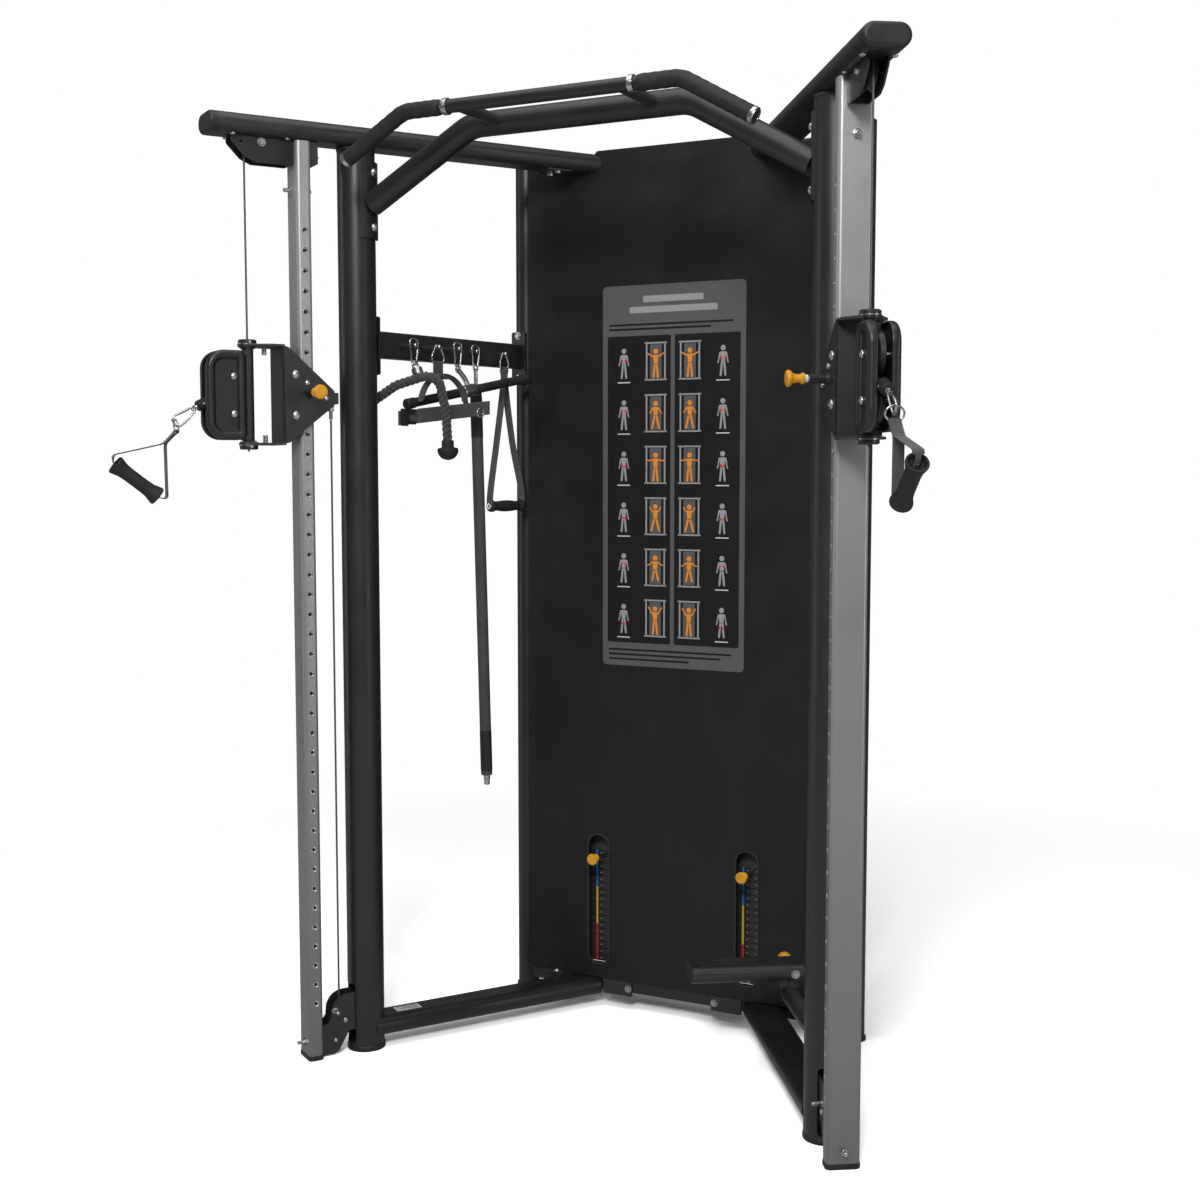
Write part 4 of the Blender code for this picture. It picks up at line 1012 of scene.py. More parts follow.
def lower_bracket():
    """Two plates between column and post with the pulley at the foot of the cable."""
    x, z = LOWER_WHEEL.x, LOWER_WHEEL.z
    inner = COLUMN_S - 0.0193
    outline = [(inner, 0.004), (inner, 0.083), (0.766, 0.086), (0.757, 0.098)]
    outline += arc((x + 0.016, z + 0.014), 0.046, 0, 90, 8)
    outline += [(0.668, z + 0.060), (0.668, 0.060), (0.707, 0.060), (0.735, 0.012), (0.750, 0.004)]
    outline = soft(outline, 0.005, 3)
    plates = [side_plate(outline, side * 0.021 - 0.002, side * 0.021 + 0.002, 0.0010) for side in (-1, 1)]
    web = box((0.766, -0.0205, 0.010), (inner, 0.0205, 0.070), 0.0012)
    fixings = []
    for side in (-1, 1):
        fixings += dome_bolt((x + 0.0235, side * 0.0228, z - 0.010), (0, side, 0), 0.0068, 0.0040)
        fixings += dome_bolt((0.745, side * 0.0228, 0.040), (0, side, 0), 0.0055, 0.0035)
    fixings += stud_nut((0.748, 0.0228, 0.120), (0, 1, 0), 0.0085, 0.0048, 0.0300)
    axle = cylinder(AXLE, -0.0226, 0.0226, LOWER_WHEEL, (0, 1, 0), 20)
    pair("lower_bracket", "frame", [(plates + [web], black), (fixings + [axle], zinc)],
         ["lower_pulley_bracket"])
    pair("lower_wheel", "lower_pulley", wheel(LOWER_WHEEL, 0.0355, 0.030), ["lower_pulley"])
    pair("lower_wrap", "frame", [(wrap(LOWER_WHEEL, 0.0330, 0, -165), coated)])


def cables():
    """The upper and lower cable, each stretched between a fixed pulley and the carriage."""
    steps = 90
    for name, fixed_end in (("upper", "high"), ("lower", "low")):
        low, high = wing_box(name + "_cable")
        s = (low.x + high.x) / 2
        path = [(s, 0, low.z + (high.z - low.z) * i / steps) for i in range(steps + 1)]
        ends = [path[-1], path[0]] if fixed_end == "high" else [path[0], path[-1]]
        pair(name + "_cable_run", "frame", [(rod(path, CABLE, 12), coated)], [name + "_cable"],
             blend=("carriage", *ends))


# ---------------------------------------------------------------- carriage and swivel


def carriage():
    """The sliding block: side plates, web, flanges with their collars, rollers and the cable stud."""
    half, z, s = 0.050, CARRIAGE_Z, SWIVEL_S
    outline = soft([(0.866, z + 0.120), (0.852, z + 0.117), (0.734, z + 0.012), (0.734, z - 0.023),
                    (0.852, z - 0.117),
                    (0.866, z - 0.120)], 0.012, 5)
    plates = [side_plate(outline, side * (half - 0.0025) - 0.0025, side * (half - 0.0025) + 0.0025, 0.0012)
              for side in (-1, 1)]
    web = box((0.861, -half, z - 0.120), (0.866, half, z + 0.120), 0.0012)
    flange = soft([(0.861, -half), (0.895, -half), (0.950, -0.020)], 0.006, 3, closed=False)
    flange += [Vector(p) for p in arc((s, 0), 0.024, -55, 55, 10)]
    flange += soft([(0.950, 0.020), (0.895, half), (0.861, half)], 0.006, 3, closed=False)
    flanges = [plate(flange, z + side * 0.120 - 0.003, z + side * 0.120 + 0.003, FLAT, 0.0010)
               for side in (-1, 1)]
    collars, seams, screws = [], [], []
    for side in (-1, 1):
        start = z + side * 0.115
        collars.append(lathe([(0.006, 0), (0.0225, 0), (0.0225, 0.0165), (0.0195, 0.0190), (0.0085, 0.0190),
                              (0.0060, 0.0165)], (s, 0, start), (0, 0, side), 48, ring=True, edge=0.0012))
        seams.append(hollow(0.0225, 0.0236, 0, 0.0016, (s, 0, start + side * 0.0075), (0, 0, side), 48))
        screws += dome_bolt((s, 0.0222, start + side * 0.0128), (0, 1, 0), 0.0032, 0.0016)
    pegs = [cylinder(0.006, a, b, (0.898, 0, z), steps=24, edge=0.0012)
            for a, b in ((0.098, 0.121), (-0.121, -0.098))]
    rollers = []
    for x, rise, radius in ((0.834, 0.050, 0.0125), (0.834, -0.050, 0.0125), (0.7715, -0.006, 0.011)):
        rollers.append(cylinder(radius, -0.046, 0.046, (x, 0, z + rise), (0, 1, 0),
                             32, edge=0.0015))
    clevis = box((0.7225, -half + 0.004, z - 0.020), (0.7395, half - 0.004, z + 0.008), 0.0015)
    stud = [(0, 0.0), (0.0048, 0.0)]
    stud += [(0.0048 - 0.0005 * (k % 2), 0.0012 * k) for k in range(1, 28)]
    stud = lathe(stud + [(0, 0.034)], (0.727, 0, z - 0.0565), (0, 0, 1), 24)
    nuts = [lathe([(0, 0), (0.0085, 0), (0.0092, 0.0008), (0.0092, 0.0062), (0.0085, 0.0070), (0, 0.0070)],
                  (0.727, 0, z + rise), (0, 0, 1), 6) for rise in (-0.0275, -0.0360)]
    barrel = lathe([(0, 0), (0.0118, 0), (0.0118, 0.004), (0.0100, 0.006), (0.0100, 0.041), (0, 0.041)],
                   (COLUMN_S, half - 0.001, z + 0.005), (0, 1, 0), 36, edge=0.0010)
    boss = cylinder(0.0150, 0, 0.003, (COLUMN_S, half - 0.001, z + 0.005), (0, 1, 0), 40,
                 edge=0.0010)
    for side in (-1, 1):
        for x, rise in ((0.834, 0.050), (0.834, -0.050)):
            screws += dome_bolt((x, side * half, z + rise), (0, side, 0), 0.0108, 0.0058)
        screws += dome_bolt((0.7560, side * half, z - 0.006), (0, side, 0), 0.0058, 0.0036)
        screws += dome_bolt((0.8045, side * half, z + 0.030), (0, side, 0), 0.0068, 0.0040)
    pair("carriage_body", "carriage", [(plates + [web] + flanges + collars + [clevis, barrel, boss], black),
                                       (rollers, nylon), (pegs + screws + seams + [stud] + nuts, zinc)],
         ["carriage"])


def pull_pins():
    """The spring pin and its knob, in front of the column."""
    place, out = (COLUMN_S, 0.0995, PIN.z), (0, 1, 0)
    knob = [(0, 0.0010), (0.0125, 0.0010), (0.0125, 0.0050), (0.0095, 0.0090), (0.0090, 0.0150),
            (0.0100, 0.0230),
            (0.0165, 0.0305), (0.0180, 0.0345), (0.0168, 0.0385), (0.0120, 0.0400), (0, 0.0400)]
    knob = lathe(knob, place, out, 48, edge=0.0014)
    collar = cylinder(0.0085, -0.0070, 0.0010, place, out, 32, edge=0.0008)
    pin = lathe([(0, -0.0609), (0.0042, -0.0609), (0.0055, -0.0590), (0.0055, 0.002), (0, 0.002)], place,
                out, 24)
    pair("pull_knob", "carriage_pin", [(knob, yellow), (collar, white_nylon), (pin, zinc)],
         ["carriage_pin"])


def housing_outline(inset):
    """The shell's outline in the wing's side plane, shrunk by an inset."""
    low, high = 1.584, 1.801
    near, far = 0.9535 + inset, 1.051 - inset
    big, small = max(0.045 - inset, 0.004), max(0.012 - inset * 0.5, 0.002)
    bottom, top = low + inset, high - inset
    outline = arc((near + small, bottom + small), small, 180, 270, 4)
    outline += arc((far - big, bottom + big), big, -90, 0, 10)
    outline += arc((far - big, top - big), big, 0, 90, 10)
    outline += arc((near + small, top - small), small, 90, 180, 4)
    return outline


def swivel_housing():
    """Two dished shells with a thick rolled rim, on the tube that turns between the carriage's flanges."""
    s = SWIVEL_S
    upper, lower = SWIVEL_WHEELS["upper"], SWIVEL_WHEELS["lower"]
    roll = [(0.0030, 0.0150), (0.0010, 0.0152), (0.0, 0.0168), (0.0, 0.0236)]
    lip = 0.0108
    bend = radians_of(range(15, 166, 15))
    roll += [(lip - lip * math.cos(a), 0.0238 + 0.0107 * math.sin(a)) for a in bend]
    roll += [(0.0222, 0.0262), (0.0232, 0.0252)]
    shells, fixings = [], []
    for side in (-1, 1):
        sections = [[(x, side * 0.0245, z) for x, z in housing_outline(0.0030)]]
        sections += [[(x, side * w, z) for x, z in housing_outline(inset)] for inset, w in roll]
        shells.append(loft(sections))
        for wheel_centre in (lower, upper):
            fixings += dome_bolt((wheel_centre.x, side * 0.0272, wheel_centre.z), (0, side, 0), 0.0088,
                                 0.0052)
    tube = hollow(0.0075, 0.0145, 1.5806, 1.8094, (s, 0, 0), steps=48, edge=0.0006)
    tube = boolean(tube, [box((s - 0.003, -0.0110, 1.600), (s + 0.05, 0.0110, 1.786), 0)])
    lugs = [box((0.9385, -0.0162, z), (0.9580, 0.0162, z + 0.012), 0.0015) for z in (1.5842, 1.7888)]
    washers = [hollow(0.0080, 0.0190, 0, 0.0022, (s, 0, z), steps=44,
                     edge=0.0004) for z in (1.5808, 1.8070)]
    axles = [cylinder(AXLE, -0.030, 0.030, wheel_centre, (0, 1, 0), 20) for wheel_centre in (lower, upper)]
    pair("housing", "swivel", [(shells + [tube] + lugs + washers, black), (fixings + axles, zinc)],
         ["swivel_housing"])


def swivel_cables():
    """The two pulleys in the housing, the cable in their grooves, and the run out to the cable stop."""
    upper, lower = SWIVEL_WHEELS["upper"], SWIVEL_WHEELS["lower"]
    for name, wheel_centre in SWIVEL_WHEELS.items():
        node = name + "_swivel_pulley"
        pair("swivel_wheel_" + name, node, wheel(wheel_centre, 0.0445, 0.040), [node])
    loops = [wrap(upper, 0.0428, 180, 268), wrap(lower, 0.0428, 92, 180)]
    spans = ((1.7375, 1.8300), (1.5560, 1.6465))
    feeds = [rod([(0.9402, 0, low), (0.9402, 0, high)], CABLE, 12) for low, high in spans]
    pair("swivel_cable", "swivel", [(loops + feeds, coated)])
    steps = 70
    start, end = Vector((0.984, 0, 1.6935)), Vector((1.0375, 0, 1.6775))
    run = [start.lerp(end, i / steps) for i in range(steps + 1)]
    pair("handle_cable", "swivel", [(rod(run, 0.0024, 12), coated)],
         blend=("cable_stop", start + Vector((0.012, 0, -0.003)), end))


def pinched(t):
    """Scale that narrows a rod at its two ends."""
    return (0.8, 0.8) if t in (0.0, 1.0) else (1, 1)


def cable_stops():
    """The rubber stop on the end of each handle cable, with its eye."""
    tilt = Vector((math.cos(math.radians(25)), 0, -math.sin(math.radians(25))))
    start = Vector((1.036, 0, 1.678))
    profile = [(0, 0), (0.0080, 0), (0.0118, 0.0020)]
    for k in range(4):
        h = 0.0045 + 0.0068 * k
        profile += [(0.0135, h), (0.0135, h + 0.0046), (0.0122, h + 0.0053), (0.0122, h + 0.0062)]
    profile += [(0.0130, 0.0325), (0.0105, 0.0352), (0, 0.0352)]
    body = lathe(profile, start, tilt, 40)
    eye_centre = start + tilt * 0.0385
    neck = lathe([(0, 0.034), (0.0062, 0.034), (0.0052, 0.0385), (0, 0.0385)], start, tilt, 20)
    level = Vector((-tilt.z, 0, tilt.x))
    eye = hoop(eye_centre + tilt * 0.0052, -tilt * 0.0052, level * 0.0058, 0.0018, 24, 10)
    screws = dome_bolt(start + tilt * 0.018 + Vector((0, 0.0132, 0)), (0, 1, 0), 0.0030, 0.0014)
    pair("stop_body", "cable_stop", [(body, rubber), ([neck, eye] + screws, zinc)], ["cable_stop"])


def hooks():
    """The snap hook between the cable's eye and the handle's ring."""
    near, far = Vector((1.0735, 0, 1.658)), Vector((1.119, 0, 1.625))
    along = (far - near).normalized()
    level = Vector((-along.z, 0, along.x))
    length = (far - near).length
    pear = [(0.0005, -0.0050), (-0.0015, 0.0), (0.0005, 0.0050), (0.012, 0.0082), (0.028, 0.0118),
            (length - 0.008, 0.0138),
            (length + 0.0015, 0.0100), (length + 0.0042, 0.0), (length + 0.0015, -0.0100),
            (length - 0.008, -0.0138),
            (0.028, -0.0118), (0.012, -0.0082)]
    loop = rod([near + along * (x + 0.001) + level * y for x, y in smooth(pear, 6, True)], 0.0027, 14,
               closed=True)
    a, b = near + along * 0.011 + level * 0.0079, near + along * (length - 0.014) + level * 0.0128
    gate = rod([a, a.lerp(b, 0.04), a.lerp(b, 0.96), b], 0.0034, 16, scale=pinched)
    hinge = cylinder(0.0026, -0.0042, 0.0042, a, (0, 1, 0), 16, edge=0.0006)
    pair("hook", "cable_stop", [([loop, gate, hinge], chrome)], ["snap_hook"])


def stitches(path, across, offsets, lift, pitch=0.0034):
    """Rows of short threads along webbing, on both faces."""
    made = []
    path = even(path, pitch)
    for i in range(0, len(path) - 1, 2):
        a, b = path[i], path[i + 1]
        normal = Vector(across).cross(b - a).normalized()
        for offset in offsets:
            for face in (-1, 1):
                shift = Vector(across) * offset + normal * face * lift
                made.append(rod([a + shift, a.lerp(b, 0.5) + shift + normal * face * 0.0002, b + shift],
                                STITCH / 2, 5))
    return made


def handles():
    """The ring in the snap hook, the stitched tab below it, and the two legs that hold the grip."""
    x, z = 1.118, 1.624
    ring = []
    for a in whole_turn(36):
        drop = 0.0155 if math.sin(a) > 0 else 0.0155 * 0.92
        ring.append((x + 0.0005 + 0.002 * math.sin(a), 0.019 * math.cos(a), z - 0.008 + drop * math.sin(a)))
    ring = rod(ring, 0.0022, 12, closed=True)
    across = (0, 1, 0)
    fork = Vector((1.1475, 0, 1.5735))
    low = Vector((x + 0.0010, 0, z - 0.0215))
    down = (fork - low).normalized()
    out = Vector((-down.z, 0, down.x))
    loop = [fork + out * 0.0016, low + down * 0.010 + out * 0.0022, low + out * 0.0040,
            low - down * 0.0038 + out * 0.0022,
            low - down * 0.0042 - out * 0.0022, low - out * 0.0040, low + down * 0.010 - out * 0.0022,
            fork - out * 0.0016]
    tab = ribbon(smooth(loop, 6), 0.0245, 0.0018, across)
    start, end = GRIP_ENDS
    axis = (end - start).normalized()
    far, near = end + axis * 0.0040, start - axis * 0.0040
    upper = soft([fork - down * 0.006 + out * 0.0012, fork + Vector((0.006, 0, -0.001)),
                  Vector((1.2700, 0, 1.5460)),
                  far, end - axis * 0.012], 0.010, 6, closed=False)
    lower = soft([fork - down * 0.006 - out * 0.0012, fork + Vector((-0.002, 0, -0.006)),
                  Vector((1.1440, 0, 1.4400)),
                  near, start + axis * 0.012], 0.010, 6, closed=False)

    def narrowing(t):
        return 1.0 if t < 0.84 else 0.44

    legs = [ribbon(even(path, 0.0035), 0.0240, 0.0022, across, narrowing) for path in (upper, lower)]
    core = rod([start + axis * 0.004, end - axis * 0.004], 0.0050, 16)
    threads = stitches([low + down * 0.010, fork - down * 0.002], across, (-0.0095, 0.0095), 0.0033)
    for path in (upper, lower):
        threads += stitches(path[1:9], across, (-0.0098, 0.0098), 0.0011)
    cross = [fork - down * 0.002 + Vector((0, w, 0)) + out * side * 0.0034 for side in (-1, 1)
             for w in (-0.010, 0.010)]
    threads += [rod([cross[0], cross[1]], STITCH, 6), rod([cross[2], cross[3]], STITCH, 6)]
    pair("handle_webbing", "handle", [([tab] + legs + [core], webbing), (threads, thread), (ring, chrome)],
         ["handle_strap"])


def grips():
    """A rubber sleeve with flared, hollow ends that rolls on the handle's core."""
    start, end = GRIP_ENDS
    length = (end - start).length
    outer = [(0.0188, 0.0), (0.0222, 0.0), (0.0230, 0.0018), (0.0228, 0.0050), (0.0200, 0.0150),
             (0.0176, 0.0240),
             (0.0166, 0.0400)]
    inner = [(0.0172, 0.0030), (0.0150, 0.0100), (0.0062, 0.0130)]
    profile = outer + [(r, length - h) for r, h in reversed(outer)] + [(r, length - h) for r, h in inner]
    profile += [(r, h) for r, h in reversed(inner)]
    grip = lathe(profile, start, end - start, 44, ring=True)
    pair("grip_sleeve", "grip", [(grip, rubber)], ["handle_grip"])


# ---------------------------------------------------------------- pull-up bar


def pull_up_bar():
    """The bent main tube, the grip bar in front of it, and the saddles on the front posts."""
    bar_y, bar_z, grip_y = -0.546, 2.340, -0.742
    side = -(WING["left"] @ Vector((POST_S, 0, 0))).x - POST_RADIUS - 0.0003
    main = [(-side + 0.002, bar_y, 2.1755), (-0.288, bar_y, bar_z), (0.288, bar_y, bar_z),
            (side - 0.002, bar_y, 2.1755)]
    tubes = [rod(soft(main, 0.10, 10, closed=False), 0.030, 56)]
    bends = [(-0.520, grip_y, 2.243), (-0.352, grip_y, bar_z), (0.352, grip_y, bar_z),
             (0.520, grip_y, 2.243)]
    path = even(soft(bends, 0.07, 12, closed=False), 0.006)
    tubes.append(rod(path, 0.0158, 32))
    tubes += [rod([(x, grip_y + 0.004, bar_z), (x, bar_y - 0.004, bar_z)], 0.014, 28)
              for x in (-0.205, 0.205)]
    flanges, bolts, sleeves, rings, dark = [], [], [], [], []
    for sign in (-1, 1):
        centre = (sign * (side + POST_RADIUS + 0.0003), bar_y)
        middle = 180 if sign > 0 else 0
        saddle = arc(centre, POST_RADIUS + 0.0062, middle - 44, middle + 44, 20)
        saddle += arc(centre, POST_RADIUS + 0.0004, middle + 44, middle - 44, 20)
        flanges.append(plate(saddle, 2.090, 2.280, FLAT, 0.0012))
        for z in (2.252, 2.118):
            bolts += dome_bolt((sign * (side - 0.0056), bar_y, z), (-sign, 0, 0), 0.0110, 0.0090)
        half = [p for p in path if p.x * sign > 0.246]
        half.sort(key=lambda p: p.x * sign)
        swell = [(0.0182 + 0.0006 * (1 if (k // 2) % 2 else 0)) / 0.0182 for k in range(len(half))]
        swell[0] = swell[-1] = 0.93
        last = len(half) - 1
        sleeves.append(rod(half, 0.0182, 36, scale=lambda t, s=swell, n=last: (s[round(t * n)],) * 2))
        rings.append(hollow(0.0155, 0.0192, -0.0065, 0.0065, (sign * 0.236, grip_y, bar_z), (1, 0, 0), 44,
                            edge=0.0012))
        bolts += dome_bolt((sign * 0.236, grip_y - 0.019, bar_z), (0, -1, 0), 0.0032, 0.0016)
        tip = half[-1]
        out = (half[-1] - half[-3]).normalized()
        rings.append(lathe([(0.0120, -0.008), (0.0194, -0.008), (0.0194, 0.0005), (0.0170, 0.0025),
                            (0.0120, 0.0025)],
                           tip, out, 44, ring=True, edge=0.0010))
        dark.append(lathe([(0, -0.002), (0.0122, -0.002), (0.0122, 0.0008), (0.0090, 0.0016), (0, 0.0016)],
                          tip, out, 36))
    piece("chin_bar", "frame", [(tubes + flanges, black), (sleeves, rubber), (rings, chrome),
                                (bolts, zinc), (dark, plastic)],
          replaces=["pull_up_bar"])


# ---------------------------------------------------------------- foot rest


def foot_arm():
    """The bent tube from the post, with the eye and the bolt that the step turns on."""
    s, y, z = STEP
    leg = soft([(POST_S - 0.030, 0, 0.2125), (s, 0, 0.2125), (s, 0, 0.247)], 0.029, 8, closed=False)
    arm = rod(leg, 0.0215, 40)
    eye = arc((y, z), 0.0170, 0, 180, 16) + [(y - 0.0170, 0.232), (y + 0.0170, 0.232)]
    block = plate(eye, s - 0.018, s + 0.018, END_ON, 0.0012)
    plug = lathe([(0, -0.002), (0.0214, -0.002), (0.0214, 0.003), (0.0200, 0.005), (0, 0.005)],
                 (s, 0, 0.243), steps=40,
                 edge=0.0008)
    collar = lathe([(0.0210, 0), (0.0262, 0), (0.0240, 0.004), (0.0218, 0.008)],
                   (POST_S - POST_RADIUS - 0.0010, 0, 0.2125),
                   (-1, 0, 0), 44, ring=True)
    bolt = cylinder(0.005, -0.045, 0.052, (s, y, z), (1, 0, 0), 20)
    head = hex_bolt((s + 0.0505, y, z), (1, 0, 0), 0.0085, 0.0055)
    piece("foot_arm", "frame", [([arm, block, plug, collar], black), ([bolt] + head, zinc)], WING["right"],
          ["footrest_arm"])


def foot_step():
    """The folding step: a flat oval tube, slotted for the eye, with a rubber tread."""
    s, y, z = STEP
    near, far = y - 0.0285, 0.250
    height = 0.042
    lay = Matrix.Translation((s, 0, z)) @ SIDE_ON
    tube = plate(oval(OVAL_WIDTH, height, 14), -(far - 0.004), -(near + 0.004), lay, 0.0006)
    slot = box((s - 0.0223, near - 0.02, z - 0.05), (s + 0.0223, y + 0.0200, z + 0.0182), 0)
    tread = []
    for w in (0.069, 0.204):
        tread.append(lathe([(0, -0.012), (0.0045, -0.012), (0.0045, 0.0003), (0.0060, 0.0013),
                            (0.0060, 0.01), (0, 0.01)],
                           (s, w, z + height / 2 - 0.0012), (0, 0, 1), 20))
    bore = cylinder(0.0056, -0.1, 0.1, (s, y, z), (1, 0, 0), 20)
    tube = boolean(tube, [slot, merged(tread), bore])
    steps = [(0.0, 0.0004), (0.0008, -0.0002), (0.0022, 0.0004), (0.0034, 0.0022), (0.0040, 0.0050)]
    rings = []
    for d, inset in steps:
        rim = oval(OVAL_WIDTH - 2 * inset, height - 2 * inset, 14)
        rings.append([(s + px, far - 0.004 + d, z + pz) for px, pz in rim])
    cap = loft(rings)
    under = stud_nut((s, 0.099, z - height / 2), (0, 0, -1), 0.0070, 0.0038, 0.0125)
    sheet_top = plate([(p[0] + s, p[1] + 0.118) for p in rectangle(0.052, 0.225, 0.006, 4)],
                      z + height / 2 - 0.0004,
                      z + height / 2 + 0.0010, FLAT, 0.0004,
                      [[(s + px, w + py) for px, py in circle(0.0072, 18)] for w in (0.069, 0.204)])
    piece("foot_step", "footrest_step", [([tube], black), (cap, plastic), (sheet_top, rubber),
                                         (under, zinc)],
          WING["right"], ["footrest_step"])


def foot_knob():
    """The fluted hand knob at the end of the step's bolt."""
    s, y, z = STEP
    tip = s - OVAL_WIDTH / 2 - 0.001
    profile = [(0.0, 0.0), (0.011, 0.0), (0.011, 0.0095), (0.0160, 0.0130), (0.0178, 0.0150),
               (0.0182, 0.0270),
               (0.0160, 0.0310), (0.0120, 0.0328), (0.0, 0.0328)]
    rings = []
    for r, h in soft(profile, 0.0008, 2, closed=False):
        if r < 1e-6:
            rings.append([(0, 0, h)])
            continue
        wave = 0.0008 if h > 0.012 and r > 0.013 else 0.0
        fluted = [(r - wave * (1 - math.cos(12 * a)) / 2, a) for a in whole_turn(96)]
        rings.append([(reach * math.cos(a), reach * math.sin(a), h) for reach, a in fluted])
    knob = loft(rings)
    knob.transform(axis_matrix((tip, y, z), (-1, 0, 0)))
    stem = cylinder(0.0050, -0.004, 0.0275, (tip, y, z), (1, 0, 0), 20)
    piece("foot_knob", "footrest_knob", [(knob, yellow), (stem, zinc)], WING["right"], ["footrest_knob"])


# ---------------------------------------------------------------- rack and accessories


def rack():
    """A bar between post and tower with five pegs."""
    near, far = POST_RADIUS + 0.0006, rack_length - 0.0306
    tube = plate(rectangle(0.040, 0.068, 0.008, 5), near + 0.002, far - 0.002,
                 Matrix.Translation((0, 0, RACK_Z)) @ END_ON,
                 0.0004)
    flange_line = rectangle(0.052, 0.148, 0.006, 4)
    flanges = [plate([(p[0], RACK_Z - 0.004 + p[1]) for p in flange_line], a, b, END_ON, 0.0012)
               for a, b in ((near, near + 0.006), (far - 0.006, far))]
    bolts = []
    for z in (1.895, 1.775):
        bolts += hex_bolt((far - 0.006, 0, z - 0.004), (-1, 0, 0), 0.0085, 0.0055)
        bolts += hex_bolt((near + 0.006, 0, z - 0.004), (1, 0, 0), 0.0080, 0.0055)
    pegs, tips = [], []
    for t, hook_y in zip(PEGS, HOOK_Y):
        end = hook_y + 0.0095
        pegs.append(cylinder(0.0050, 0.018, end - 0.003, (t, 0, RACK_Z), (0, 1, 0),
                          28))
        pegs.append(cylinder(0.0088, 0.0195, 0.0265, (t, 0, RACK_Z), (0, 1, 0), 6))
        tips.append(lathe([(0, end - 0.0035), (0.0056, end - 0.0035), (0.0060, end - 0.001),
                           (0.0045, end + 0.001),
                           (0, end + 0.001)], (t, 0, RACK_Z), (0, 1, 0), 28, edge=0.0004))
    piece("rack_bar", "frame", [([tube] + flanges + pegs, black), (tips + bolts, zinc)], RACK,
          ["accessory_rack"])


def snap_hook(t, y, drop, width=0.029):
    """A pear-shaped snap hook, wide where it hangs on the peg, with its gate."""
    top, bottom = RACK_Z + 0.0165, RACK_Z + 0.0005 - drop
    half = width / 2
    right = [(half * 0.80, top - 0.0035), (half, top - 0.0125), (half * 0.84, top * 0.5 + bottom * 0.5),
             (half * 0.56, bottom + 0.0075), (half * 0.34, bottom + 0.0012)]
    line = [(0, top)] + right + [(0, bottom)] + [(-x, z) for x, z in reversed(right)]
    loop = rod([(t + x, y, z) for x, z in smooth(line, 5, True)], 0.0024, 12, closed=True)
    a, b = Vector((t + half * 0.96, y, top - 0.017)), Vector((t + half * 0.62, y, bottom + 0.010))
    gate = rod([a, a.lerp(b, 0.05), a.lerp(b, 0.95), b], 0.0030, 14)
    return [loop, gate]


def d_ring(t, y, low, width):
    """A wire ring with a straight foot that hangs directly on a peg."""
    top, half = RACK_Z + 0.0110, width / 2
    line = soft([(-half, low), (half, low), (half * 1.02, low + 0.016), (0, top + 0.006),
                 (-half * 1.02, low + 0.016)], 0.011, 6)
    return rod([(t + p.x, y, p.y) for p in line], 0.0024, 12, closed=True)


def twisted(path, radius, pitch=0.042, strands=3):
    """A laid rope: strands wound round a common path."""
    path = even(path, 0.0035)
    strand = radius * 0.465
    made = []
    for k in range(strands):
        upward = Vector((0.3, 1.0, 0.2))
        line = []
        for i, place in enumerate(path):
            along = (path[min(i + 1, len(path) - 1)] - path[max(i - 1, 0)]).normalized()
            side = along.cross(upward).normalized()
            upward = side.cross(along).normalized()
            angle = math.tau * (k / strands + i * 0.0035 / pitch)
            line.append(place + (side * math.cos(angle) + upward * math.sin(angle)) * (radius - strand))
        made.append(rod(line, strand, 14))
    return made


def rope_end(tip, direction):
    """A rubber end: a short neck that grips the rope and a cup with a flat top and a round foot."""
    profile = [(0, -0.022), (0.0150, -0.022), (0.0158, -0.018), (0.0158, -0.004), (0.0262, -0.001),
               (0.0270, 0.002)]
    profile += [(0.027 * math.cos(a), 0.004 + 0.025 * math.sin(a)) for a in radians_of(range(8, 89, 10))]
    return lathe(profile + [(0, 0.0291)], tip, direction, 40)


def triceps_rope():
    """A laid rope through a clamp, with a rubber cup on each end."""
    t = PEGS[0]
    right = soft([(t - 0.004, 0.084, 1.752), (t + 0.003, 0.124, 1.750), (t + 0.022, 0.138, 1.735),
                  (t + 0.042, 0.140, 1.660),
                  (t + 0.048, 0.140, 1.578)], 0.018, 8, closed=False)
    left = soft([(t + 0.002, 0.094, 1.750), (t - 0.040, 0.040, 1.728), (t - 0.072, -0.050, 1.670),
                 (t - 0.076, -0.075, 1.610)], 0.026, 8, closed=False)
    ropes = twisted(right, 0.0128) + twisted(left, 0.0128)
    ends = [rope_end((t + 0.048, 0.140, 1.566), (0.03, 0, -1))]
    ends += [rope_end((t - 0.076, -0.075, 1.598), (0, 0, -1))]
    clamp = lathe([(0, -0.014), (0.0130, -0.014), (0.0145, -0.010), (0.0145, 0.010), (0.0130, 0.014),
                   (0, 0.014)],
                  (t, 0.082, 1.760), (0.0, 0.5, -1), 32)
    eye = hoop((t, 0.0720, 1.7800), (0.0088, 0, 0), (0, 0, 0.0110), 0.0028, 28)
    metal = [([clamp, eye], chrome), (snap_hook(t, 0.068, 0.050), chrome)]
    piece("rope_handle", "triceps_rope", [(ropes, cord), (ends, rubber)] + metal, RACK, ["triceps_rope"])


